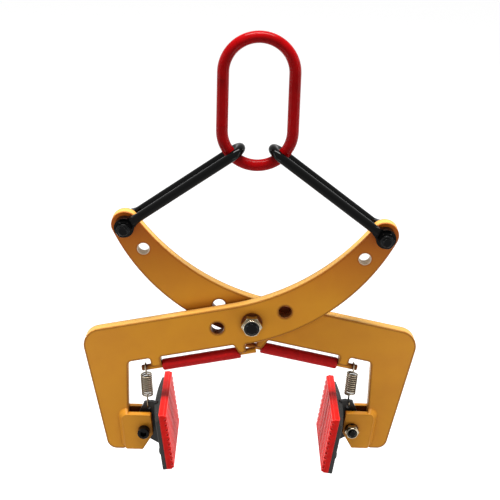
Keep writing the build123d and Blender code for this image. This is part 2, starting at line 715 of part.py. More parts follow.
def pad_screws():
    """Four button-head screws that hold the soft pad to its plate."""
    head = extrude(Circle(SCREW_HEAD_D / 2), SCREW_HEAD_T)
    head = fillet(head.edges().sort_by(Axis.Z)[-1], SCREW_HEAD_R)
    key = RegularPolygon(SCREW_SOCKET_AF / 2, HEX_SIDES, major_radius=False)
    head -= Pos(0, 0, SCREW_HEAD_T) * extrude(key, -SCREW_SOCKET_DEPTH)
    screw = head + extrude(Circle(SCREW_D / 2), -BACKING_T - SCREW_BITE)
    places = [Plane(origin=(BACKING_BACK, y, SCREW_Z), z_dir=(-1, 0, 0)) for y in screw_places()]
    return Compound(children=[place * screw for place in places])


def biarc(start, start_way, end, end_way):
    """Two arcs that leave one point and reach another, each along its given way."""
    span = end - start
    both = start_way + end_way
    turn = 2 * (1 - start_way.dot(end_way))
    lean = span.dot(both)
    reach = (sqrt(lean**2 + turn * span.dot(span)) - lean) / turn
    first = start + start_way * reach
    last = end - end_way * reach
    middle = (first + last) * 0.5
    way = (last - first).normalized()
    return [TangentArc(start, middle, tangent=start_way), TangentArc(middle, end, tangent=way)]


def spring_path(length):
    """The wire's centre line: lower hook, lead in, coils, lead out and upper hook."""
    rise = length - LOWER_SHANK - UPPER_SHANK - 2 * HOOK_R - 2 * COIL_LEAD
    turns = int(rise / COIL_PITCH)
    slope = atan2(rise, 2 * pi * COIL_R * turns)
    low = LOWER_SHANK + HOOK_R + COIL_LEAD
    level = Vector(0, 1, 0)

    def hook(angle, sign, height):
        turn = radians(angle)
        return Vector(0, HOOK_R * sin(turn), height + sign * HOOK_R * cos(turn))

    def hook_way(angle, sign):
        turn = radians(angle)
        return Vector(0, cos(turn), -sign * sin(turn))

    def coil(half_turns):
        turn = pi * half_turns
        height = low + rise * half_turns / (2 * turns)
        return Vector(COIL_R * cos(turn), -COIL_R * sin(turn), height)

    def coil_way(half_turns):
        turn = pi * half_turns
        return Vector(-sin(turn) * cos(slope), -cos(turn) * cos(slope), sin(slope))

    def hook_arc(start, stop, sign, height):
        middle = (start + stop) / 2
        arcs = []
        for first, last in ((start, middle), (middle, stop)):
            arcs += biarc(
                hook(first, sign, height),
                hook_way(first, sign),
                hook(last, sign, height),
                hook_way(last, sign),
            )
        return arcs

    side = 90.0
    neck = length - UPPER_SHANK
    tail = hook(-HOOK_SWEEP, 1, 0)
    edges = [Line(tail - hook_way(-HOOK_SWEEP, 1) * WIRE_D, tail)]
    edges += hook_arc(-HOOK_SWEEP, -side, 1, 0)
    edges.append(Line(hook(-side, 1, 0), hook(-side, 1, LOWER_SHANK)))
    edges += hook_arc(-side, 0, 1, LOWER_SHANK)
    edges += biarc(hook(0, 1, LOWER_SHANK), level, coil(0), coil_way(0))
    last = 2 * turns
    for step in range(last):
        edges += biarc(coil(step), coil_way(step), coil(step + 1), coil_way(step + 1))
    edges += biarc(coil(last), coil_way(last), hook(0, -1, neck), level)
    edges += hook_arc(0, side, -1, neck)
    edges.append(Line(hook(side, -1, neck), hook(side, -1, length)))
    edges += hook_arc(side, HOOK_SWEEP, -1, length)
    tip = hook(HOOK_SWEEP, -1, length)
    edges.append(Line(tip, tip + hook_way(HOOK_SWEEP, -1) * WIRE_D))
    return edges


def least_gap(edges):
    """The least gap between parts of the wire that are not neighbours, on points."""
    points = []
    run = 0.0
    for edge in edges:
        for sample in range(GAP_SAMPLES):
            share = sample / GAP_SAMPLES
            place = edge.position_at(share)
            points.append((place.X, place.Y, place.Z, run + share * edge.length))
        run += edge.length
    best = run
    apart = 2 * pi * WIRE_D
    for i, first in enumerate(points):
        for second in points[i + 1 :]:
            if second[3] - first[3] > apart:
                reach = hypot(first[0] - second[0], first[1] - second[1], first[2] - second[2])
                best = min(best, reach)
    return best - WIRE_D


def return_spring():
    """The left pull spring, from the bumper bar down to the pad's lug."""
    tilt = radians(PAD_TILT)
    low_x = -PAD_PIVOT_X + LUG_HOOK_X * cos(tilt) - LUG_HOOK_Z * sin(tilt)
    low_z = PIVOT_Z + PAD_PIVOT_Z + LUG_HOOK_X * sin(tilt) + LUG_HOOK_Z * cos(tilt)
    high_x, high_z = jaw_point(HOOK_S, BAR_AXIS)
    length = hypot(high_x - low_x, high_z - low_z)
    lean = degrees(atan2(high_x - low_x, high_z - low_z))
    edges = spring_path(length)
    gap = least_gap(edges)
    print("least spring gap", round(gap, 3), "wanted over", LEAST_COIL_GAP)
    path = Wire(edges)
    section = Plane(origin=path @ 0, z_dir=path % 0) * Circle(WIRE_D / 2)
    return Pos(low_x, -ARM_MID_Y, low_z) * Rot(0, lean, 0) * sweep(section, path, clean=False)


def build_nodes():
    """Every piece of the clamp by its node name."""
    nodes = {"master_link": master_link()}
    nodes["right_link"] = hairpin()
    nodes["left_link"] = turned(nodes["right_link"])
    for side, x, arm_y in (("left", -ARM_END_X, ARM_MID_Y), ("right", ARM_END_X, -ARM_MID_Y)):
        for name, piece in link_bolt_set(x, arm_y).items():
            nodes[side + "_" + name] = piece
    nodes["front_arm"] = arm_plate()
    nodes["back_arm"] = turned(nodes["front_arm"])
    nodes.update(pivot_set())
    weld = cheek_weld()
    left = {
        "bumper_bar": bumper_bar(),
        "bumper_sleeve": bumper_sleeve(),
        "outer_cheek": cheek(-ARM_FAR_Y - CHEEK_T, -ARM_FAR_Y, 0),
        "inner_cheek": cheek(-ARM_NEAR_Y, -ARM_NEAR_Y + CHEEK_T, -1),
        "cheek_welds": Compound(children=[weld, mirror_weld(weld)]),
        "spring": return_spring(),
        "pad_face": pad_place() * pad_face(),
        "pad_backing": pad_place() * backing_plate(),
        "pad_stiffeners": pad_place() * stiffeners(),
        "pad_lug": pad_place() * pad_lug(),
        "pad_bush": pad_place() * pad_bush(),
        "pad_screws": pad_place() * pad_screws(),
    }
    left.update(pad_bolt_set())
    for name, piece in left.items():
        nodes["left_" + name] = piece
        nodes["right_" + name] = turned(piece)
    return nodes


os.makedirs("parts", exist_ok=True)
for name, piece in build_nodes().items():
    export_step(piece, "parts/" + name + ".step")
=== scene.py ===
# %% [markdown]
# # Kerb lifting clamp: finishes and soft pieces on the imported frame
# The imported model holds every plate, bolt and link at its true place, in metres.
# This lesson adds what the eye expects: paint, zinc, rubber, wound springs and weld beads.
# The rigid shapes could be modelled again here, but the CAD solids are already right, so they
# stay, and only the soft, wound, welded and threaded pieces are made anew.

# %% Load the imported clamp
import json
import math

import bmesh
import bpy
import numpy as np
from mathutils import Matrix, Vector

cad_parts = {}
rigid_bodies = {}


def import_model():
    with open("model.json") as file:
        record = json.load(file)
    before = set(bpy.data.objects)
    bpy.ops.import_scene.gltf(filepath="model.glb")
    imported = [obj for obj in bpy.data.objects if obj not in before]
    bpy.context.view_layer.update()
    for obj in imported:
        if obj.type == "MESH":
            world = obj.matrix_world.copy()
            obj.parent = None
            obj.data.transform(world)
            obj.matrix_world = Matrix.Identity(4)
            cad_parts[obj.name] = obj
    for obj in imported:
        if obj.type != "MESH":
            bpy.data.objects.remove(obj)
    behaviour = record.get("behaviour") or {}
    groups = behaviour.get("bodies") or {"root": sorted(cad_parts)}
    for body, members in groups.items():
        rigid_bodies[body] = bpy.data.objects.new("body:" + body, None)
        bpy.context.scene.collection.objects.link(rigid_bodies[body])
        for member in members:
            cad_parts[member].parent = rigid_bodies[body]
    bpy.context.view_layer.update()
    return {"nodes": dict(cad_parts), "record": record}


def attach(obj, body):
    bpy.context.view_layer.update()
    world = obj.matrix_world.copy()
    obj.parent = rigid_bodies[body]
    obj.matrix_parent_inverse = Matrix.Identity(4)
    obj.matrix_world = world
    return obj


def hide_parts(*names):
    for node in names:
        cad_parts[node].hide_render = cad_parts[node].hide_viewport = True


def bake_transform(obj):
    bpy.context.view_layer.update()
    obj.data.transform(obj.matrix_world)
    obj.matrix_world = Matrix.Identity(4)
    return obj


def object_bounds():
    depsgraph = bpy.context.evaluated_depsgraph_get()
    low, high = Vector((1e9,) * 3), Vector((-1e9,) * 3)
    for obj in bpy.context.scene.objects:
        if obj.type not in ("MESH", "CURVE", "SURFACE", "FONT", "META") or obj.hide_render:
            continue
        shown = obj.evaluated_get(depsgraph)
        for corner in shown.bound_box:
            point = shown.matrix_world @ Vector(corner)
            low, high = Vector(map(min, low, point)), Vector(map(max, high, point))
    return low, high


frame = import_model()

nodes = frame["nodes"]

# %% [markdown]
# ## Colour and node helpers
# Paint colours are easiest to read as sRGB hex, but a shader works in linear light.
# One function converts them. A second adds any node with its settings and links,
# so each finish below reads as a short list of what feeds what.

# %% Colour and node helpers
MM = 0.001
MIX_A, MIX_B, MIX_OUT = 6, 7, 2


def linear(code):
    """sRGB hex to linear RGBA: c/12.92 below 0.04045, else ((c + 0.055)/1.055) to the 2.4."""
    srgb = np.array([int(code[i : i + 2], 16) for i in (1, 3, 5)]) / 255
    low, high = srgb / 12.92, ((srgb + 0.055) / 1.055) ** 2.4
    return (*np.where(srgb < 0.04045, low, high).tolist(), 1.0)


def per_metre(size_mm):
    """A texture's scale for features of a size in millimetres, on coordinates in metres."""
    return 1.0 / (size_mm * MM)


def add(tree, kind, values=None, links=None, **settings):
    """Adds one node: settings are its own fields, values fill its sockets, and links are
    {socket: (node, output)}."""
    made = tree.nodes.new(kind)
    for field, value in settings.items():
        setattr(made, field, value)
    for socket, value in (values or {}).items():
        made.inputs[socket].default_value = value
    for socket, (source, output) in (links or {}).items():
        tree.links.new(source.outputs[output], made.inputs[socket])
    return made


def new_finish(name, roughness, metallic=0.0, **constants):
    """A material whose shader has its constants set; gives material, tree, shader and coordinates."""
    material = bpy.data.materials.new(name)
    material.use_nodes = True
    tree = material.node_tree
    shader = tree.nodes["Principled BSDF"]
    shader.inputs["Roughness"].default_value = roughness
    shader.inputs["Metallic"].default_value = metallic
    for socket, value in constants.items():
        shader.inputs[socket.replace("_", " ")].default_value = value
    return material, tree, shader, add(tree, "ShaderNodeTexCoord")


finishes = {}
print("middle grey in linear light", round(linear("#808080")[0], 3))

# %% [markdown]
# ## Powder coat on the arms
# Powder coat is sprayed as dry resin and baked, so it lies as one thick satin skin with a faint
# orange-peel ripple. The cut edges of a plate, which are the places where the surface turns away
# from Y, are painted paler: a painted highlight, as where a lamp catches an edge. Sharp corners
# are painted brown: painted shade along the edges. Ambient occlusion looked up inside the metal
# finds those corners: only near one does it meet the next face. Vertex paint could mark them too,
# but the CAD meshes stay untouched. The same lookup outside the metal finds creases, which are
# painted red-brown: painted shade. The cheeks, bars and welds are rounder, so they get none of the
# painted edge highlight and little of the painted edge shade.

# %% Powder coat
COAT_YELLOWS = "#C78620", "#C28020"
EDGE_SHADE_WIDTH, CREASE_SHADE_REACH = 3.5, 20.0


def powder_finish(name, edge_shade_share, edge_highlight_share):
    """Two close yellows mixed by slow noise, with cut edges paled by a share (painted highlight),
    outer corners browned by a share (painted shade) and creases reddened (painted shade).
    A fine ripple in the normal; the gloss is low and broad."""
    material, tree, shader, place = new_finish(name, roughness=0.42, Specular_IOR_Level=0.16)
    cloudy = add(
        tree,
        "ShaderNodeTexNoise",
        {"Scale": per_metre(38), "Detail": 3.0},
        {"Vector": (place, "Object")},
    )
    shade = add(
        tree,
        "ShaderNodeMapRange",
        {"From Min": 0.35, "From Max": 0.65},
        {"Value": (cloudy, "Fac")},
    )
    coat = add(
        tree,
        "ShaderNodeMix",
        {MIX_A: linear(COAT_YELLOWS[0]), MIX_B: linear(COAT_YELLOWS[1])},
        {"Factor": (shade, "Result")},
        data_type="RGBA",
    )
    facing = add(tree, "ShaderNodeSeparateXYZ", None, {0: (place, "Normal")})
    level = add(tree, "ShaderNodeMath", None, {0: (facing, "Y")}, operation="ABSOLUTE")
    # Painted highlight: where the surface turns away from Y, the coat is mixed towards a pale yellow.
    edge_highlight = add(
        tree,
        "ShaderNodeMapRange",
        {"From Min": 0.7, "From Max": 0.3, "To Max": edge_highlight_share},
        {"Value": (level, "Value")},
    )
    edge_highlit = add(
        tree,
        "ShaderNodeMix",
        {MIX_B: linear("#CB9F52")},
        {"Factor": (edge_highlight, "Result"), MIX_A: (coat, MIX_OUT)},
        data_type="RGBA",
    )
    inside = add(
        tree,
        "ShaderNodeAmbientOcclusion",
        {"Distance": EDGE_SHADE_WIDTH * MM},
        inside=True,
        only_local=True,
        samples=6,
    )
    # Painted shade: near sharp outer corners the coat is mixed towards dark brown.
    corner = add(
        tree,
        "ShaderNodeMapRange",
        {"From Min": 0.95, "From Max": 0.72, "To Max": edge_shade_share},
        {"Value": (inside, "AO")},
    )
    edge_shaded = add(
        tree,
        "ShaderNodeMix",
        {MIX_B: linear("#5A2602")},
        {"Factor": (corner, "Result"), MIX_A: (edge_highlit, MIX_OUT)},
        data_type="RGBA",
    )
    # Painted shade: in creases found by occlusion the coat is mixed towards red-brown.
    outside = add(tree, "ShaderNodeAmbientOcclusion", {"Distance": CREASE_SHADE_REACH * MM}, samples=8)
    crease_shade = add(
        tree,
        "ShaderNodeMapRange",
        {"From Min": 0.84, "From Max": 0.3, "To Max": 0.85},
        {"Value": (outside, "AO")},
    )
    crease_shaded = add(
        tree,
        "ShaderNodeMix",
        {MIX_B: linear("#6A1704")},
        {"Factor": (crease_shade, "Result"), MIX_A: (edge_shaded, MIX_OUT)},
        data_type="RGBA",
    )
    peel = add(
        tree,
        "ShaderNodeTexNoise",
        {"Scale": per_metre(2.2), "Detail": 2.0},
        {"Vector": (place, "Object")},
    )
    ripple = add(
        tree,
        "ShaderNodeBump",
        {"Strength": 0.12, "Distance": 0.25 * MM},
        {"Height": (peel, "Fac")},
    )
    tree.links.new(crease_shaded.outputs[MIX_OUT], shader.inputs["Base Color"])
    tree.links.new(ripple.outputs["Normal"], shader.inputs["Normal"])
    print("finish", name, "nodes", len(tree.nodes))
    return material


finishes["yellow_paint"] = powder_finish("powder_coated_plate", edge_shade_share=0.75, edge_highlight_share=0.7)
full_coat = powder_finish("powder_coated_weldment", edge_shade_share=0.12, edge_highlight_share=0.0)

# %% [markdown]
# ## Painted shade on the limbs, painted light in the holes
# The limbs' faces are painted a deeper orange towards their upper ends: painted shade, darker
# towards the top. The walls of the two upper holes are painted a pale cream: painted light, as
# where a lamp falls on a hole's lower wall. A second set of materials could hold this, but height
# and distance from a hole's axis are known everywhere on an arm, so the arms' own finish can do
# both. The arms are half a turn apart: with the signs of the coordinates dropped, one hole's place
# serves both.

# %% Painted shade on the limbs
# Painted shade: the limbs' faces are mixed towards a deeper orange, more towards their upper ends.
LIMB_SHADE_TOP, LIMB_SHADE_FOOT, LIMB_SHADE_SHARE = -240.0, -338.0, 0.9

plate = finishes["yellow_paint"]
tree = plate.node_tree
shader, place = tree.nodes["Principled BSDF"], tree.nodes["Texture Coordinate"]
coat = shader.inputs["Base Color"].links[0].from_node
spot = add(tree, "ShaderNodeSeparateXYZ", None, {0: (place, "Object")})
height = add(
    tree,
    "ShaderNodeMapRange",
    {"From Min": LIMB_SHADE_FOOT * MM, "From Max": LIMB_SHADE_TOP * MM, "To Max": LIMB_SHADE_SHARE},
    {"Value": (spot, "Z")},
)
facing = add(tree, "ShaderNodeSeparateXYZ", None, {0: (place, "Normal")})
level = add(tree, "ShaderNodeMath", None, {0: (facing, "Y")}, operation="ABSOLUTE")
limb_shade = add(
    tree,
    "ShaderNodeMath",
    None,
    {0: (height, "Result"), 1: (level, "Value")},
    operation="MULTIPLY",
)
shaded = add(
    tree,
    "ShaderNodeMix",
    {MIX_B: linear("#A8500A")},
    {"Factor": (limb_shade, "Value"), MIX_A: (coat, MIX_OUT)},
    data_type="RGBA",
)
tree.links.new(shaded.outputs[MIX_OUT], shader.inputs["Base Color"])
print("limbs aged from", LIMB_SHADE_FOOT, "to", LIMB_SHADE_TOP)

# %% Painted light in the hole walls
# Painted light: within the holes' radius the walls are mixed towards pale cream.
LIT_WALL_R, LIT_WALL_FADE, LIT_WALL_SHARE = 8.1, 0.5, 0.9
FLAT = (1.0, 0.0, 1.0)

hole = next(mount for mount in frame["record"]["mounts"] if mount["name"] == "left_upper_hole")
axis = np.abs(hole["pos_m"]) * FLAT
flattened = add(
    tree, "ShaderNodeVectorMath", {1: FLAT}, {0: (place, "Object")}, operation="MULTIPLY"
)
unsigned = add(tree, "ShaderNodeVectorMath", None, {0: (flattened, "Vector")}, operation="ABSOLUTE")
from_axis = add(
    tree, "ShaderNodeVectorMath", {1: axis}, {0: (unsigned, "Vector")}, operation="DISTANCE"
)
wall = add(
    tree,
    "ShaderNodeMapRange",
    {"From Min": (LIT_WALL_R + LIT_WALL_FADE) * MM, "From Max": LIT_WALL_R * MM, "To Max": LIT_WALL_SHARE},
    {"Value": (from_axis, "Value")},
)
lit_walls = add(
    tree,
    "ShaderNodeMix",
    {MIX_B: linear("#DCCBB2")},
    {"Factor": (wall, "Result"), MIX_A: (shaded, MIX_OUT)},
    data_type="RGBA",
)
tree.links.new(lit_walls.outputs[MIX_OUT], shader.inputs["Base Color"])
print("finish", plate.name, "nodes", len(tree.nodes), "hole at", axis)

# %% [markdown]
# ## Red enamel on the forged ring
# The ring is drop forged, shot blasted and dipped in enamel. Blasting leaves a soft, uneven
# skin under the gloss, so highlights break up a little. Sculpting the skin would need a very dense
# mesh. Two sizes of noise give it at no cost: a slow one for the forging's waves and a fine one for
# the blasted grain, which is drawn coarser than life so that it shows from where the camera stands.

# %% Red enamel
enamel, tree, shader, place = new_finish(
    "red_enamel_on_forged_steel", roughness=0.2, Specular_IOR_Level=0.055
)
waves = add(
    tree,
    "ShaderNodeTexNoise",
    {"Scale": per_metre(16), "Detail": 2.0},
    {"Vector": (place, "Object")},
)
shade = add(
    tree, "ShaderNodeMapRange", {"From Min": 0.3, "From Max": 0.7}, {"Value": (waves, "Fac")}
)
coat = add(
    tree,
    "ShaderNodeMix",
    {MIX_A: linear("#960306"), MIX_B: linear("#820204")},
    {"Factor": (shade, "Result")},
    data_type="RGBA",
)
grain = add(
    tree,
    "ShaderNodeTexNoise",
    {"Scale": per_metre(1.8), "Detail": 3.0},
    {"Vector": (place, "Object")},
)
slow = add(
    tree, "ShaderNodeBump", {"Strength": 0.3, "Distance": 0.5 * MM}, {"Height": (waves, "Fac")}
)
fine = add(
    tree,
    "ShaderNodeBump",
    {"Strength": 0.15, "Distance": 0.15 * MM},
    {"Height": (grain, "Fac"), "Normal": (slow, "Normal")},
)
tree.links.new(coat.outputs[MIX_OUT], shader.inputs["Base Color"])
tree.links.new(fine.outputs["Normal"], shader.inputs["Normal"])
finishes["red_paint"] = enamel
print("finish", enamel.name, "nodes", len(tree.nodes))

# %% [markdown]
# ## Blackened steel, black paint, nylon
# The hairpins and bolts are black oxide steel under oil: near black, with a tight bright line
# where a lamp catches the rod. The pads' backing plates have rougher black paint that chips to
# pale primer at its edges. The lock rings are moulded nylon. All three are dark, so what tells
# them apart is how wide their highlights are. One function with a few settings makes them all.

# %% Blackened steel and nylon
def dark_finish(name, tones, roughness, spread, grain_mm, lift_mm, specular):
    """Mixes two tones by noise of a grain, varies roughness by spread, and bumps the same grain."""
    material, tree, shader, place = new_finish(name, roughness, Specular_IOR_Level=specular)
    grain = add(
        tree,
        "ShaderNodeTexNoise",
        {"Scale": per_metre(grain_mm), "Detail": 4.0},
        {"Vector": (place, "Object")},
    )
    tone = add(
        tree,
        "ShaderNodeMix",
        {MIX_A: linear(tones[0]), MIX_B: linear(tones[1])},
        {"Factor": (grain, "Fac")},
        data_type="RGBA",
    )
    gloss = add(
        tree,
        "ShaderNodeMapRange",
        {"From Min": 0.3, "From Max": 0.7, "To Min": roughness - spread, "To Max": roughness + spread},
        {"Value": (grain, "Fac")},
    )
    bump = add(
        tree,
        "ShaderNodeBump",
        {"Strength": 0.2, "Distance": lift_mm * MM},
        {"Height": (grain, "Fac")},
    )
    tree.links.new(tone.outputs[MIX_OUT], shader.inputs["Base Color"])
    tree.links.new(gloss.outputs["Result"], shader.inputs["Roughness"])
    tree.links.new(bump.outputs["Normal"], shader.inputs["Normal"])
    return material, tone


finishes["black_steel"], _ = dark_finish(
    "black_oxide_steel",
    ("#020202", "#060606"),
    roughness=0.12,
    spread=0.03,
    grain_mm=3.0,
    lift_mm=0.04,
    specular=0.09,
)
finishes["black_nylon"], _ = dark_finish(
    "moulded_nylon",
    ("#0D0D0E", "#151515"),
    roughness=0.4,
    spread=0.05,
    grain_mm=1.2,
    lift_mm=0.05,
    specular=0.2,
)
print("dark finishes", finishes["black_steel"].name, finishes["black_nylon"].name)

# %% Chipped black paint
CHIP_MM, CHIP_EDGE = 3.5, 1.2

black_paint, tone = dark_finish(
    "black_paint_on_plate",
    ("#141413", "#242321"),
    roughness=0.42,
    spread=0.08,
    grain_mm=5.0,
    lift_mm=0.15,
    specular=0.25,
)
tree = black_paint.node_tree
shader, place = tree.nodes["Principled BSDF"], tree.nodes["Texture Coordinate"]
chips = add(
    tree,
    "ShaderNodeTexNoise",
    {"Scale": per_metre(CHIP_MM), "Detail": 6.0, "Roughness": 0.7},
    {"Vector": (place, "Object")},
)
rounded = add(tree, "ShaderNodeBevel", {"Radius": CHIP_EDGE * MM}, samples=6)
true = add(tree, "ShaderNodeNewGeometry")
same = add(
    tree,
    "ShaderNodeVectorMath",
    None,
    {0: (rounded, "Normal"), 1: (true, "Normal")},
    operation="DOT_PRODUCT",
)
edge = add(
    tree, "ShaderNodeMapRange", {"From Min": 0.99, "From Max": 0.9}, {"Value": (same, "Value")}
)
bare = add(
    tree, "ShaderNodeMapRange", {"From Min": 0.62, "From Max": 0.68}, {"Value": (chips, "Fac")}
)
chipped = add(
    tree,
    "ShaderNodeMath",
    None,
    {0: (edge, "Result"), 1: (bare, "Result")},
    operation="MULTIPLY",
)
primed = add(
    tree,
    "ShaderNodeMix",
    {MIX_B: linear("#9A9288")},
    {"Factor": (chipped, "Value"), MIX_A: (tone, MIX_OUT)},
    data_type="RGBA",
)
tree.links.new(primed.outputs[MIX_OUT], shader.inputs["Base Color"])
finishes["black_paint"] = black_paint
print("finish", black_paint.name, "nodes", len(tree.nodes))

# %% [markdown]
# ## Zinc and bronze
# Zinc plate is a metal skin with a faint spangle; its lustre is soft because the plating is
# slightly crystalline. The crystals are drawn coarser than life so that they show. A bump could
# give them too, but would roughen every highlight. Bronze bushes are turned, so they stay plain.
# The washers at the hub are given a dark brown zinc: painted shade and a painted reflection of the
# plate round the nut. All are metals: full metallic, colour in the reflection, and a roughness that
# wanders with the grain. The springs are wound from zinc wire too, and occlusion paints shade into
# the gaps between their turns, which lets the eye count the turns.

# %% Zinc and bronze
BRIGHTER, DULLER = 0.05, 0.1


def metal_finish(name, tones, roughness, grain_mm):
    """A metal whose tint and roughness follow cell noise of a grain size."""
    material, tree, shader, place = new_finish(name, roughness, metallic=1.0)
    grain = add(
        tree, "ShaderNodeTexVoronoi", {"Scale": per_metre(grain_mm)}, {"Vector": (place, "Object")}
    )
    tone = add(
        tree,
        "ShaderNodeMix",
        {MIX_A: linear(tones[0]), MIX_B: linear(tones[1])},
        {"Factor": (grain, "Distance")},
        data_type="RGBA",
    )
    gloss = add(
        tree,
        "ShaderNodeMapRange",
        {"To Min": roughness - BRIGHTER, "To Max": roughness + DULLER},
        {"Value": (grain, "Distance")},
    )
    tree.links.new(tone.outputs[MIX_OUT], shader.inputs["Base Color"])
    tree.links.new(gloss.outputs["Result"], shader.inputs["Roughness"])
    return material, tone


finishes["zinc_steel"], _ = metal_finish(
    "zinc_plated_steel", ("#B4AB98", "#8E8572"), roughness=0.12, grain_mm=1.6
)
finishes["bronze"], _ = metal_finish(
    "turned_bronze", ("#B0803F", "#8F6430"), roughness=0.35, grain_mm=1.2
)
# Painted shade: the washers are a dark brown zinc, standing in for the shadow and the reflected plate
# round the nut.
washer_shade, _ = metal_finish(
    "tarnished_zinc", ("#6A3A20", "#42200F"), roughness=0.3, grain_mm=1.6
)
print("metals", finishes["zinc_steel"].name, finishes["bronze"].name, washer_shade.name)

# %% Spring wire
GAP_SHADE_REACH = 3.0

wire_finish, tone = metal_finish(
    "zinc_spring_wire", ("#988C78", "#6E6454"), roughness=0.18, grain_mm=1.6
)
tree = wire_finish.node_tree
shader = tree.nodes["Principled BSDF"]
# Painted shade: occlusion between the turns mixes the wire to near black and takes its metal away.
between = add(tree, "ShaderNodeAmbientOcclusion", {"Distance": GAP_SHADE_REACH * MM}, samples=8)
gap_shade = add(
    tree, "ShaderNodeMapRange", {"From Min": 0.86, "From Max": 0.7}, {"Value": (between, "AO")}
)
gap_shaded = add(
    tree,
    "ShaderNodeMix",
    {MIX_B: linear("#0C0805")},
    {"Factor": (gap_shade, "Result"), MIX_A: (tone, MIX_OUT)},
    data_type="RGBA",
)
bright = add(tree, "ShaderNodeMath", {0: 1.0}, {1: (gap_shade, "Result")}, operation="SUBTRACT")
tree.links.new(gap_shaded.outputs[MIX_OUT], shader.inputs["Base Color"])
tree.links.new(bright.outputs["Value"], shader.inputs["Metallic"])
shader.inputs["Specular IOR Level"].default_value = 0.08
print("finish", wire_finish.name, "nodes", len(tree.nodes))

# %% [markdown]
# ## Rubber sleeve and urethane pad
# The sleeves are extruded red rubber: dull, with a fine uneven grain. The pads are cast red
# urethane: harder and brighter, and their outer corners are painted paler, a painted highlight as
# where a lamp catches a rounded corner. Both scatter light in the same soft way, so a rough
# dielectric is enough; true subsurface light would barely show.

# %% Rubber and urethane
CORNER_HIGHLIGHT_WIDTH = 1.5


def red_finish(name, tones, roughness, grain_mm, specular, corner_highlight_share):
    """Two reds mixed by noise of a grain, paled at outer corners by a share as a painted highlight,
    with the grain as a low bump."""
    material, tree, shader, place = new_finish(name, roughness, Specular_IOR_Level=specular)
    grain = add(
        tree,
        "ShaderNodeTexNoise",
        {"Scale": per_metre(grain_mm), "Detail": 5.0},
        {"Vector": (place, "Object")},
    )
    shade = add(
        tree, "ShaderNodeMapRange", {"From Min": 0.3, "From Max": 0.7}, {"Value": (grain, "Fac")}
    )
    tone = add(
        tree,
        "ShaderNodeMix",
        {MIX_A: linear(tones[0]), MIX_B: linear(tones[1])},
        {"Factor": (shade, "Result")},
        data_type="RGBA",
    )
    inside = add(
        tree,
        "ShaderNodeAmbientOcclusion",
        {"Distance": CORNER_HIGHLIGHT_WIDTH * MM},
        inside=True,
        only_local=True,
        samples=6,
    )
    # Painted highlight: outer corners found by occlusion inside are mixed towards pale pink.
    corner = add(
        tree,
        "ShaderNodeMapRange",
        {"From Min": 0.92, "From Max": 0.62, "To Max": corner_highlight_share},
        {"Value": (inside, "AO")},
    )
    corner_highlit = add(
        tree,
        "ShaderNodeMix",
        {MIX_B: linear("#E2948A")},
        {"Factor": (corner, "Result"), MIX_A: (tone, MIX_OUT)},
        data_type="RGBA",
    )
    bump = add(
        tree,
        "ShaderNodeBump",
        {"Strength": 0.25, "Distance": 0.2 * MM},
        {"Height": (grain, "Fac")},
    )
    tree.links.new(corner_highlit.outputs[MIX_OUT], shader.inputs["Base Color"])
    tree.links.new(bump.outputs["Normal"], shader.inputs["Normal"])
    return material


finishes["red_rubber"] = red_finish(
    "extruded_red_rubber",
    ("#B00D0C", "#9A0809"),
    roughness=0.5,
    grain_mm=4.0,
    specular=0.14,
    corner_highlight_share=0.0,
)
finishes["red_urethane"] = red_finish(
    "cast_red_urethane",
    ("#C61711", "#B4110D"),
    roughness=0.42,
    grain_mm=7.0,
    specular=0.1,
    corner_highlight_share=0.12,
)
print("reds", finishes["red_rubber"].name, finishes["red_urethane"].name)

# %% [markdown]
# ## Give each CAD node its finish
# The imported record names a material slot for every node, so one loop dresses them all, where
# a list by hand could miss one. The cheek plates then get the full coat, and the washers behind the
# nut get the dark brown zinc, which is painted shade.

# %% Dress the CAD nodes
for part in frame["record"]["subparts"]:
    mesh = nodes[part["node"]].data
    mesh.materials.clear()
    mesh.materials.append(finishes[part["material_slot"]])
for side in ("left", "right"):
    for piece in ("outer_cheek", "inner_cheek"):
        nodes[f"{side}_{piece}"].data.materials[0] = full_coat
nodes["pivot_washers"].data.materials[0] = washer_shade

# %% [markdown]
# ## From a grid of points to a piece
# Every new piece below is a grid: one direction runs along it, the other round it. Joining
# each point to its neighbours gives the faces, and closing the grid on itself leaves no seam.
# Primitives and modifiers could rough out some of them, but one function does for all.

# %% Grid to mesh
SHARP = math.radians(35)


def skin(name, grid, slot, ring=False):
    """A closed mesh over grid[along, round, xyz] in mm: each quad joins a point to the next along and
    the next round. A ring also joins its last row to its first; otherwise each end gets one face."""
    rows, columns = grid.shape[:2]
    a, b = np.meshgrid(np.arange(rows if ring else rows - 1), np.arange(columns), indexing="ij")
    c, d = (a + 1) % rows, (b + 1) % columns
    quads = np.stack([a * columns + b, a * columns + d, c * columns + d, c * columns + b], axis=-1)
    faces = quads.reshape(-1, 4).tolist()
    if not ring:
        end = np.arange(columns)
        faces += [end[::-1].tolist(), (end + (rows - 1) * columns).tolist()]
    mesh = bpy.data.meshes.new(name)
    mesh.from_pydata((grid * MM).reshape(-1, 3).tolist(), [], faces)
    shell = bmesh.new()
    shell.from_mesh(mesh)
    bmesh.ops.recalc_face_normals(shell, faces=shell.faces)
    shell.to_mesh(mesh)
    shell.free()
    mesh.shade_smooth()
    mesh.set_sharp_from_angle(angle=SHARP)
    mesh.materials.append(finishes[slot])
    piece = bpy.data.objects.new(name, mesh)
    bpy.context.scene.collection.objects.link(piece)
    print("made", name, len(mesh.vertices), "points")
    return piece


# %% [markdown]
# ## Return springs
# Each spring is one zinc wire: a hook, a shank, ten open turns and the same again reversed.
# A curve with a screw modifier could wind it, but the hooks would need joining by hand. Here the
# centre line is written out as arrays, and a round section is carried along it. In every stretch
# the level direction away from the bend's axis is known, so the section never twists.

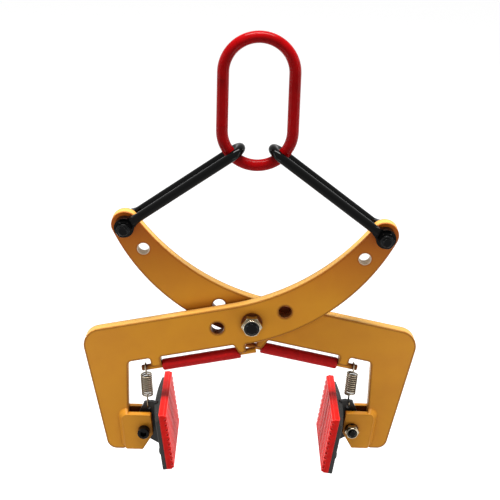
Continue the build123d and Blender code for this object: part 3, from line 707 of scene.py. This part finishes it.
# %% Spring centre line
ARM_MID_Y = -8.5
WIRE_R, COIL_R, HOOK_R = 1.1, 6.8, 5.6
LOWER_SHANK, UPPER_SHANK, COIL_LEAD = 6.3, 3.0, 1.6
COIL_TURNS, HOOK_SWEEP = 10, 292.0
SPRING_LOW = np.array([-137.414, ARM_MID_Y, -494.438])
SPRING_HIGH = np.array([-140.659, ARM_MID_Y, -440.179])
EYE_POINTS, BEND_POINTS, LEAD_POINTS, TURN_POINTS = 30, 14, 16, 30


def spring_line():
    """Points and outward level directions from the lower hook's tip to the upper hook's tip.
    Hooks are circles of HOOK_R in the plane x = 0; leads are half turns of half the coil's radius;
    the coil is x = R cos t, y = -R sin t, with z rising evenly over its turns."""
    length = np.linalg.norm(SPRING_HIGH - SPRING_LOW)
    low = LOWER_SHANK + HOOK_R
    high = length - UPPER_SHANK - HOOK_R

    def hook(first, last, sign, height, count):
        turn = np.radians(np.linspace(first, last, count, endpoint=False))
        points = np.stack([0 * turn, HOOK_R * np.sin(turn), height + sign * HOOK_R * np.cos(turn)], -1)
        return points, np.tile([-1.0, 0, 0], (count, 1))

    def lead(start, end, side):
        turn = np.linspace(0, np.pi, LEAD_POINTS, endpoint=False)
        away = np.stack([-side * np.cos(turn), side * np.sin(turn), 0 * turn], -1)
        points = COIL_R / 2 * (away + [1, 0, 0])
        points[:, 2] = start + (end - start) * turn / np.pi
        return points, away

    turn = np.linspace(0, 2 * np.pi * COIL_TURNS, TURN_POINTS * COIL_TURNS, endpoint=False)
    away = np.stack([np.cos(turn), -np.sin(turn), 0 * turn], -1)
    rise = (high - low - 2 * COIL_LEAD) * turn / (2 * np.pi * COIL_TURNS)
    coil = COIL_R * away + np.stack([0 * turn, 0 * turn, low + COIL_LEAD + rise], -1)
    runs = [
        hook(-HOOK_SWEEP, -90, 1, 0, EYE_POINTS),
        hook(-90, 0, 1, LOWER_SHANK, BEND_POINTS),
        lead(low, low + COIL_LEAD, 1),
        (coil, away),
        lead(high - COIL_LEAD, high, -1),
        hook(0, 90, -1, length - UPPER_SHANK, BEND_POINTS),
        hook(90, HOOK_SWEEP, -1, length, EYE_POINTS),
    ]
    return np.concatenate([run[0] for run in runs]), np.concatenate([run[1] for run in runs])


line, away = spring_line()
wire_length = np.linalg.norm(np.diff(line, axis=0), axis=1).sum()
print("spring wire length mm", round(float(wire_length), 1))

# %% Wind the springs
WIRE_COLUMNS = 14


def carried_round(line, away, radius, columns):
    """A circle carried along a line: point + radius (cos v * away + sin v * across)."""
    ahead = np.gradient(line, axis=0)
    ahead /= np.linalg.norm(ahead, axis=1, keepdims=True)
    across = np.cross(ahead, away)
    across /= np.linalg.norm(across, axis=1, keepdims=True)
    v = np.linspace(0, 2 * np.pi, columns, endpoint=False)[None, :, None]
    return line[:, None] + radius * (np.cos(v) * away[:, None] + np.sin(v) * across[:, None])


# The right half is the left half turned half a turn about Z.
HALF_TURN = np.array([-1.0, -1.0, 1.0])
SIDES = (("left", "front_arm", np.ones(3)), ("right", "back_arm", HALF_TURN))

lean = math.atan2(SPRING_HIGH[0] - SPRING_LOW[0], SPRING_HIGH[2] - SPRING_LOW[2])
leaning = np.array(Matrix.Rotation(lean, 3, "Y"))
wire = carried_round(line, away, WIRE_R, WIRE_COLUMNS) @ leaning.T + SPRING_LOW
for side, arm, turn in SIDES:
    spring = skin(side + "_coil_spring", wire * turn, "zinc_steel")
    spring.data.materials[0] = wire_finish
    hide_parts(side + "_spring")
    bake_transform(spring)

# %% [markdown]
# ## Painted shade on the bar ends
# Each upper hook turns on the end of its bumper bar, and round the hook's seat the bar is painted
# dark red-brown: painted shade. The patch could be painted by hand, but the distance from the
# hook's seat gives it in a few nodes. The two seats are half a turn apart, so with the signs of the
# coordinates dropped one point serves both.

# %% Painted shade on the bar ends
# Painted shade: the bar is mixed towards dark red-brown near the hook's seat.
HOOK_SHADE_REACH, HOOK_SHADE_HEART, HOOK_SHADE_SHARE = 11.0, 4.0, 0.85

hook_shaded_bar = powder_finish("powder_coated_bar", edge_shade_share=0.12, edge_highlight_share=0.0)
tree = hook_shaded_bar.node_tree
shader, place = tree.nodes["Principled BSDF"], tree.nodes["Texture Coordinate"]
coat = shader.inputs["Base Color"].links[0].from_node
unsigned = add(tree, "ShaderNodeVectorMath", None, {0: (place, "Object")}, operation="ABSOLUTE")
from_seat = add(
    tree,
    "ShaderNodeVectorMath",
    {1: np.abs(SPRING_HIGH) * MM},
    {0: (unsigned, "Vector")},
    operation="DISTANCE",
)
hook_shade = add(
    tree,
    "ShaderNodeMapRange",
    {"From Min": HOOK_SHADE_REACH * MM, "From Max": HOOK_SHADE_HEART * MM, "To Max": HOOK_SHADE_SHARE},
    {"Value": (from_seat, "Value")},
)
hook_shaded = add(
    tree,
    "ShaderNodeMix",
    {MIX_B: linear("#4A1608")},
    {"Factor": (hook_shade, "Result"), MIX_A: (coat, MIX_OUT)},
    data_type="RGBA",
)
tree.links.new(hook_shaded.outputs[MIX_OUT], shader.inputs["Base Color"])
for side in ("left", "right"):
    nodes[side + "_bumper_bar"].data.materials[0] = hook_shaded_bar
print("finish", hook_shaded_bar.name, "nodes", len(tree.nodes))

# %% [markdown]
# ## Rubber sleeves
# A sleeve is a length of thick red hose pushed on the bumper bar before it was welded. Its inner
# end was cut with a knife at a slant, to clear the neck beside it, and trimmed back below. A
# cylinder with a slanted cut would have sharp ends. Here the wall's section is a closed loop from
# bore to outside, turned about the bar; sliding each point along the bar by its height gives the cut.

# %% Sleeves
PIVOT_Z = -367.001
BAR_LINE, JAW_SLOPE = -43.4, math.radians(11.6)
SLEEVE_NEAR, SLEEVE_FAR = 23.58, 129.1
SLEEVE_R, SLEEVE_BORE, SLEEVE_ROUND = 7.8, 4.15, 2.4
CUT_ABOVE, CUT_BELOW = 0.41, 0.15
DENT, DENT_LENGTH, DENT_TWIST = 0.12, 9.0, 2.0
ROUND_RINGS, WALL_RINGS, BORE_RINGS, SLEEVE_COLUMNS = 5, 58, 20, 40


def sleeve_grid():
    """Rings about the bar: radius and place along it follow the wall's closed section, the cut moves a
    point by its height times the share that is left to the far end, and a low wave dents the wall."""
    turn = np.linspace(0, np.pi / 2, ROUND_RINGS)
    outer = SLEEVE_R - SLEEVE_ROUND
    span = SLEEVE_FAR - SLEEVE_NEAR
    radius = np.concatenate(
        [
            [SLEEVE_BORE],
            outer + SLEEVE_ROUND * np.sin(turn),
            np.full(WALL_RINGS, SLEEVE_R),
            outer + SLEEVE_ROUND * np.cos(turn),
            [SLEEVE_BORE],
            np.full(BORE_RINGS, SLEEVE_BORE),
        ]
    )[:, None]
    place = np.concatenate(
        [
            [0.0],
            SLEEVE_ROUND * (1 - np.cos(turn)),
            np.linspace(SLEEVE_ROUND, span - SLEEVE_ROUND, WALL_RINGS + 2)[1:-1],
            span - SLEEVE_ROUND * (1 - np.sin(turn)),
            [span],
            np.linspace(span, 0, BORE_RINGS + 2)[1:-1],
        ]
    )[:, None]
    v = np.linspace(0, 2 * np.pi, SLEEVE_COLUMNS, endpoint=False)[None]
    wave = DENT * np.sin(place / DENT_LENGTH + DENT_TWIST * np.sin(v)) * (radius > outer)
    wall = radius - np.abs(wave)
    above, across = wall * np.sin(v), wall * np.cos(v)
    cut = np.where(above > 0, CUT_ABOVE, CUT_BELOW)
    s = SLEEVE_NEAR + place + cut * above * (1 - place / span)
    n = BAR_LINE + above
    cos, sin = math.cos(JAW_SLOPE), math.sin(JAW_SLOPE)
    return np.stack([-s * cos - n * sin, ARM_MID_Y + across, PIVOT_Z - s * sin + n * cos], -1)


hose = sleeve_grid()
for side, arm, turn in SIDES:
    sleeve = skin(side + "_rubber_sleeve", hose * turn, "red_rubber", ring=True)
    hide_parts(side + "_bumper_sleeve")
    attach(sleeve, arm)

# %% [markdown]
# ## Gripping pads
# A pad is a block of cast urethane with level ribs that bite the load. The mould leaves every
# corner rounded, and the outer ends most. The rib section is carried across the pad's width and
# drawn in over the last two millimetres, which rounds the ends; a Bevel modifier rounds the ribs.
# A bump in the material could not do either in outline.

# %% Pads
PAD_AXIS = np.array([-141.987, 0.0, -528.001])
PAD_TILT = math.radians(8)
PAD_BACK, RIB_ROOT_X, RIB_CREST_X = 28.5, 35.5, 38.5
PAD_TOP, PAD_FOOT, PAD_HALF = 42.0, -40.5, 65.0
PAD_END_R, PAD_END_ROWS, RIB_CORNER_R = 1.8, 6, 0.45
RIB_COUNT, RIB_FLAT, RIB_SPREAD = 11, 0.225, 0.375


def pad_section():
    """The block's outline in x and z: a straight back, and on the face each rib's foot and crest."""
    pitch = (PAD_TOP - PAD_FOOT) / RIB_COUNT
    middle = PAD_FOOT + (np.arange(RIB_COUNT) + 0.5) * pitch
    rise = pitch * np.array([-RIB_SPREAD, -RIB_FLAT, RIB_FLAT, RIB_SPREAD])
    reach = np.array([RIB_ROOT_X, RIB_CREST_X, RIB_CREST_X, RIB_ROOT_X])
    z = (middle[:, None] + rise).ravel()
    x = np.tile(reach, RIB_COUNT)
    ends = np.array([[PAD_BACK, PAD_TOP], [PAD_BACK, PAD_FOOT], [RIB_ROOT_X, PAD_FOOT]])
    return np.concatenate([ends, np.stack([x, z], -1), [[RIB_ROOT_X, PAD_TOP]]])


def pad_grid():
    """The section repeated across the width. Near an end it shrinks towards its middle by
    R (1 - sin t) while the depth goes in by R (1 - cos t); then it leans by the pad's tilt."""
    section = pad_section()
    low, high = section.min(0), section.max(0)
    middle, half = (low + high) / 2, (high - low) / 2
    t = np.linspace(0, np.pi / 2, PAD_END_ROWS)
    y = -PAD_HALF + PAD_END_R * (1 - np.cos(t))
    inset = PAD_END_R * (1 - np.sin(t))
    y, inset = np.concatenate([y, -y[::-1]]), np.concatenate([inset, inset[::-1]])
    drawn = middle + (section - middle) * (1 - inset[:, None, None] / half)
    x, z = drawn[..., 0], drawn[..., 1]
    cos, sin = math.cos(PAD_TILT), math.sin(PAD_TILT)
    depth = np.tile(y[:, None], (1, len(section)))
    return PAD_AXIS + np.stack([x * cos - z * sin, depth, x * sin + z * cos], -1)


block = pad_grid()
for side, _, turn in SIDES:
    pad = skin(side + "_grip_pad", block * turn, "red_urethane")
    rounding = pad.modifiers.new("moulded_corners", "BEVEL")
    rounding.width = RIB_CORNER_R * MM
    rounding.segments = 3
    rounding.limit_method = "ANGLE"
    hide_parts(side + "_pad_face")
    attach(pad, side + "_pad")

# %% [markdown]
# ## Weld beads
# Each cheek plate is held to its leg by a fillet weld round its outer edge, painted over. The
# welder's pauses leave shallow ripples across the bead. A bevelled curve gives a plain tube; here
# the bead's section, a low arch from leg to cheek, is carried round the corner and its height
# waves along the run. The hidden side lies just inside the metal, so no gap shows at its feet.

# %% Weld path
WELD_START, WELD_CORNER = np.array([-163.887, -504.001]), np.array([-172.887, -504.001])
WELD_STOP, WELD_BEND = np.array([-167.315, -554.719]), 7.0
LEVEL_ROWS, CORNER_ROWS, FALL_ROWS = 12, 24, 89


def weld_path():
    """Points and outward directions along the cheek's edge: a level run, an arc of the corner's
    radius that touches both runs, and the run down to the foot; also the length so far."""
    level = (WELD_START - WELD_CORNER) / np.linalg.norm(WELD_START - WELD_CORNER)
    down = (WELD_STOP - WELD_CORNER) / np.linalg.norm(WELD_STOP - WELD_CORNER)
    between = math.acos(float(level @ down))
    touch = WELD_BEND / math.tan(between / 2)
    inward = (level + down) / np.linalg.norm(level + down)
    centre = WELD_CORNER + inward * WELD_BEND / math.sin(between / 2)
    turn = math.pi / 2 + np.linspace(0, math.pi - between, CORNER_ROWS)
    bend_out = np.stack([np.cos(turn), np.sin(turn)], -1)
    share = np.linspace(0, 1, LEVEL_ROWS, endpoint=False)[:, None]
    run = WELD_START + (WELD_CORNER + level * touch - WELD_START) * share
    share = np.linspace(0, 1, FALL_ROWS + 1)[1:, None]
    fall = WELD_CORNER + down * touch + (WELD_STOP - WELD_CORNER - down * touch) * share
    points = np.concatenate([run, centre + WELD_BEND * bend_out, fall])
    out = np.repeat(bend_out, [LEVEL_ROWS + 1] + [1] * (CORNER_ROWS - 2) + [FALL_ROWS + 1], axis=0)
    steps = np.linalg.norm(np.diff(points, axis=0), axis=1)
    return points, out, np.concatenate([[0.0], np.cumsum(steps)])


points, out, along = weld_path()
print("weld run mm", round(float(along[-1]), 1))

# %% Lay the beads
ARM_FACE_Y = -16.5
WELD_FOOT, WELD_HEIGHT, WELD_ARCH = 5.4, 7.2, 0.15
RIPPLE, RIPPLE_PITCH, RIPPLE_BOW = 0.1, 2.6, 1.3
WELD_SINK, WELD_TUCK, WELD_COLUMNS = 0.35, 0.3, 13
WELD_FADE, WELD_END = 2.5, 0.55


def weld_grid(points, out, along):
    """Rows along the path, columns round the bead: the face is a parabola from the leg to the cheek
    that swells by its arch and ripples in crescents; three more points close it inside the metal.
    Over the last stretch both ends taper by the square root of the distance left."""
    t = np.linspace(0, 1, WELD_COLUMNS)[None]
    crescent = along[:, None] - RIPPLE_BOW * (2 * t - 1) ** 2
    swell = 4 * t * (1 - t) * (WELD_ARCH + RIPPLE * np.cos(2 * np.pi * crescent / RIPPLE_PITCH))
    left = np.minimum(along, along[-1] - along)[:, None]
    taper = WELD_END + (1 - WELD_END) * np.sqrt(np.clip(left / WELD_FADE, 0, 1))
    wide = (WELD_FOOT * (1 - t) + swell) * taper
    high = (WELD_HEIGHT * t + swell * (1 - t)) * (taper * (1 - t) + t)
    sunk, tucked = np.full_like(left, -WELD_SINK), np.full_like(left, WELD_HEIGHT - WELD_TUCK)
    wide = np.concatenate([wide, sunk, sunk, np.full_like(left, WELD_FOOT / 2)], 1)
    high = np.concatenate([high, tucked, sunk, sunk], 1)
    place = points[:, None] + wide[..., None] * out[:, None]
    return np.stack([place[..., 0], ARM_FACE_Y - high, place[..., 1]], -1)


bead = weld_grid(points, out, along)
far_bead = bead * [1, -1, 1] + [0, 2 * ARM_MID_Y, 0]
for side, arm, turn in SIDES:
    for face, grid in (("front", bead), ("rear", far_bead)):
        weld = skin(f"{side}_{face}_weld_bead", grid * turn, "yellow_paint")
        weld.data.materials[0] = full_coat
        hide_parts(side + "_cheek_welds")
        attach(weld, arm)

# %% [markdown]
# ## Bolts with threads
# A bolt is forged, then its thread is rolled, and the last turns stand out of each lock nut. The
# packed bolts are plain, as solids should be, so they are made again as one surface: distance
# from the axis as a function of height and angle. The head is the lesser of a hexagon and a
# cone, which gives the curved line where the corners are turned off. A screw modifier could make
# the thread alone, but it would still need joining to its shank.

# %% Bolt heads
HEAD_FACE, CHAMFER_ROWS = 0.475, 6
RIM_CHAMFER, UNBOUND = 0.8, 99.0


def hexagon(across, angle):
    """Distance from the axis to a hexagon's side at an angle: half its width over the cosine of the
    angle from the middle of the nearest side."""
    return across / 2 / np.cos((angle + np.pi / 6) % (np.pi / 3) - np.pi / 6)


def hex_head(across, height):
    """Rows from the head's top to its bearing face as (height, cone, hexagon): both ends taper at
    30 degrees from the corners to a round face."""
    face, corner = HEAD_FACE * across, across / math.sqrt(3)
    drop = (corner - face) * math.tan(math.pi / 6)
    share = np.linspace(0, 1, CHAMFER_ROWS)
    cone = np.concatenate([face + (corner - face) * share, corner + (face - corner) * share])
    level = np.concatenate([height - drop * share, drop * (1 - share)])
    return np.stack([level, cone, np.full(2 * CHAMFER_ROWS, across)], -1)


def socket_head(across, height, socket, depth):
    """Rows from the socket's floor up its walls, over the rim and down the round head, as for
    hex_head; a bound that doesn't hold in a row lies far out."""
    return np.array(
        [
            [height - depth, UNBOUND, socket],
            [height, UNBOUND, socket],
            [height, across / 2 - RIM_CHAMFER, UNBOUND],
            [height - RIM_CHAMFER, across / 2, UNBOUND],
            [0.0, across / 2, UNBOUND],
        ]
    )


pivot_head = hex_head(across=24.0, height=10.0)
link_head = hex_head(across=19.0, height=7.5)
pad_head = socket_head(across=16.0, height=10.0, socket=8.0, depth=5.0)
print("head rows", len(pivot_head), len(link_head), len(pad_head))

# %% Bolt shanks
ROLLED, THREAD_ROWS, BOLT_COLUMNS = 5.0, 40, 96
THREAD_DEPTH, TIP_CHAMFER = 0.6, 1.2


def bolt_grid(head, diameter, pitch, length):
    """Head rows, then the shank: plain to its rolled end, where the radius falls from the crest by a
    triangle wave of height / pitch + angle / turn, and the tip is held inside a 45 degree cone."""
    angle = np.linspace(0, 2 * np.pi, BOLT_COLUMNS, endpoint=False)[None]
    cap = np.minimum(head[:, 1:2], hexagon(1.0, angle) * head[:, 2:3])
    crest, start = diameter / 2, length - ROLLED
    depth = np.concatenate([[0.0], np.linspace(start, length, THREAD_ROWS + 1)])[:, None]
    wave = np.abs(2 * ((depth / pitch + angle / (2 * np.pi)) % 1.0) - 1)
    fade = np.clip((depth - start) / pitch, 0, 1)
    rolled = crest - THREAD_DEPTH * pitch * (1 - wave) * fade
    shank = np.minimum(rolled, crest - TIP_CHAMFER + length - depth)
    radius = np.concatenate([cap, shank])
    level = np.concatenate([head[:, :1], -depth]) * np.ones_like(angle)
    return np.stack([radius * np.cos(angle), radius * np.sin(angle), level], -1)


def stood(grid, place, facing):
    """A bolt turned so that its head faces along Y (1 to the back, -1 to the front), at a place."""
    x, y, z = np.moveaxis(grid, -1, 0)
    return np.stack([x, facing * z, y], -1) + place


pivot_bolt = bolt_grid(pivot_head, diameter=16.0, pitch=2.0, length=57.4)
link_bolt = bolt_grid(link_head, diameter=12.0, pitch=1.75, length=56.0)
pad_bolt = bolt_grid(pad_head, diameter=10.0, pitch=1.5, length=46.0)
print("bolt grids", pivot_bolt.shape, link_bolt.shape, pad_bolt.shape)

# %% Fit the bolts
LINK_X, LINK_Z = 167.5, -240.501
PIVOT_HEAD_Y, LEFT_HEAD_Y, RIGHT_HEAD_Y, PAD_HEAD_Y = 19.7, 29.0, 12.0, -24.5

left_pad_bolt = stood(pad_bolt, PAD_AXIS + [0, PAD_HEAD_Y, 0], -1)
bolts = {
    "pivot_bolt": stood(pivot_bolt, [0.0, PIVOT_HEAD_Y, PIVOT_Z], 1),
    "left_link_bolt": stood(link_bolt, [-LINK_X, LEFT_HEAD_Y, LINK_Z], 1),
    "right_link_bolt": stood(link_bolt, [LINK_X, RIGHT_HEAD_Y, LINK_Z], 1),
    "left_pad_bolt": left_pad_bolt,
    "right_pad_bolt": left_pad_bolt * HALF_TURN,
}
for name, grid in bolts.items():
    bolt = skin("threaded_" + name, grid, "black_steel")
    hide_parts(name)
    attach(bolt, nodes[name].parent.name.removeprefix("body:"))

# %% [markdown]
# ## Studio
# The clamp hangs in front of a white sweep. A wide lamp overhead lights the upper edges. Low lamps
# at the four corners light the faces from below, as pale paper would, and tall strips draw a thin
# bright line down the rods. A lamp straight in front would be simpler, but the flat plates would
# mirror it and look faded. The floor lies well below, so its soft shadow stays under the picture.
# The world looks white to the eye and in reflections, and lights the clamp less.

# %% Floor
FLOOR_SIZE, FLOOR_DROP = 40.0, 0.32
WHITE, BLACK = (1.0, 1.0, 1.0, 1.0), (0.0, 0.0, 0.0, 1.0)


def looked_at(tree):
    """A node that is 1 for rays from the eye, a gloss or a clear piece, and 0 for rays that light
    others."""
    rays = add(tree, "ShaderNodeLightPath")
    direct = add(
        tree,
        "ShaderNodeMath",
        None,
        {0: (rays, "Is Camera Ray"), 1: (rays, "Is Glossy Ray")},
        operation="MAXIMUM",
    )
    return add(
        tree,
        "ShaderNodeMath",
        None,
        {0: (direct, "Value"), 1: (rays, "Is Transmission Ray")},
        operation="MAXIMUM",
    )


floor_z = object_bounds()[0][2] - FLOOR_DROP
bpy.ops.mesh.primitive_plane_add(size=FLOOR_SIZE, location=(0, 0, floor_z))
floor = bpy.context.object
floor.name = "studio_floor"
sweep, tree, shader, place = new_finish("white_paper_sweep", roughness=0.9)
fibre = add(tree, "ShaderNodeTexNoise", {"Scale": per_metre(3.0)}, {"Vector": (place, "Object")})
paper = add(
    tree,
    "ShaderNodeMix",
    {MIX_A: linear("#8C8C8C"), MIX_B: linear("#888888")},
    {"Factor": (fibre, "Fac")},
    data_type="RGBA",
)
tree.links.new(paper.outputs[MIX_OUT], shader.inputs["Base Color"])
glow = add(tree, "ShaderNodeEmission", {"Color": WHITE, "Strength": 0.84})
nothing = add(tree, "ShaderNodeEmission", {"Color": BLACK, "Strength": 0.0})
seen = add(
    tree,
    "ShaderNodeMixShader",
    None,
    {0: (looked_at(tree), "Value"), 1: (nothing, "Emission"), 2: (glow, "Emission")},
)
both = add(tree, "ShaderNodeAddShader", None, {0: (shader, "BSDF"), 1: (seen, "Shader")})
tree.links.new(both.outputs["Shader"], tree.nodes["Material Output"].inputs["Surface"])
floor.data.materials.append(sweep)
print("floor at", round(floor_z, 3))

# %% World
world = bpy.data.worlds.new("studio_world")
bpy.context.scene.world = world
world.use_nodes = True
tree = world.node_tree
fill = add(tree, "ShaderNodeBackground", {"Color": WHITE, "Strength": 0.28})
white = add(tree, "ShaderNodeBackground", {"Color": WHITE, "Strength": 1.0})
either = add(
    tree,
    "ShaderNodeMixShader",
    None,
    {0: (looked_at(tree), "Value"), 1: (fill, "Background"), 2: (white, "Background")},
)
tree.links.new(either.outputs["Shader"], tree.nodes["World Output"].inputs["Surface"])
print("world", world.name)


# %% Lamps
def soft_lamp(name, place, aim, size, power):
    """An area lamp of a width and height at a place, turned so that it shines at a point."""
    lamp = bpy.data.lights.new(name, "AREA")
    lamp.shape = "RECTANGLE"
    lamp.size, lamp.size_y = size
    lamp.energy = power
    carrier = bpy.data.objects.new(name, lamp)
    carrier.location = place
    carrier.rotation_euler = (Vector(aim) - Vector(place)).to_track_quat("-Z", "Y").to_euler()
    carrier.visible_camera = False
    bpy.context.scene.collection.objects.link(carrier)


UPPER_AIM, LOWER_AIM = (0.0, 0.0, -0.3), (0.0, 0.0, -0.5)
soft_lamp("overhead_softbox", place=(0.0, -0.08, 2.4), aim=UPPER_AIM, size=(2.2, 0.8), power=214.0)
for face, y in (("front", -1), ("back", 1)):
    for hand, x in (("left", -1), ("right", 1)):
        soft_lamp(
            f"low_{face}_{hand}_softbox",
            place=(0.55 * x, 0.6 * y, -0.74),
            aim=LOWER_AIM,
            size=(0.5, 0.2),
            power=1.42,
        )
        soft_lamp(
            f"{face}_{hand}_strip",
            place=(1.3 * x, 0.5 * y, -0.2),
            aim=UPPER_AIM,
            size=(0.25, 1.2),
            power=4.0,
        )

# %% [markdown]
# ## Camera
# The picture was taken from in front and above with a long lens. The camera could be aimed by a
# constraint, but a place and two angles say the same and stay readable. The place is given from the
# centre bolt, and the small roll is how far the hanging clamp leans in the picture.

# %% Camera
SENSOR, FOCAL_PX, FRAME_PX = 36.0, 1169, 500
VIEW_PLACE = Vector((-0.0022, -1.420, 0.6427))
VIEW_DOWN, VIEW_ROLL = math.radians(21.04), math.radians(1.6)

camera = bpy.data.cameras.new("camera")
camera.sensor_width = SENSOR
camera.lens = SENSOR * FOCAL_PX / FRAME_PX
viewer = bpy.data.objects.new("camera", camera)
bpy.context.scene.collection.objects.link(viewer)
roll = Matrix.Rotation(-VIEW_ROLL, 4, "Y")
pivot = Matrix.Translation((0, 0, PIVOT_Z * MM))
level = Matrix.Translation(VIEW_PLACE) @ Matrix.Rotation(math.pi / 2 - VIEW_DOWN, 4, "X")
viewer.matrix_world = pivot @ roll @ level
bpy.context.scene.camera = viewer
bpy.context.scene.view_settings.view_transform = "Standard"
print("camera at", [round(c, 3) for c in viewer.matrix_world.translation])
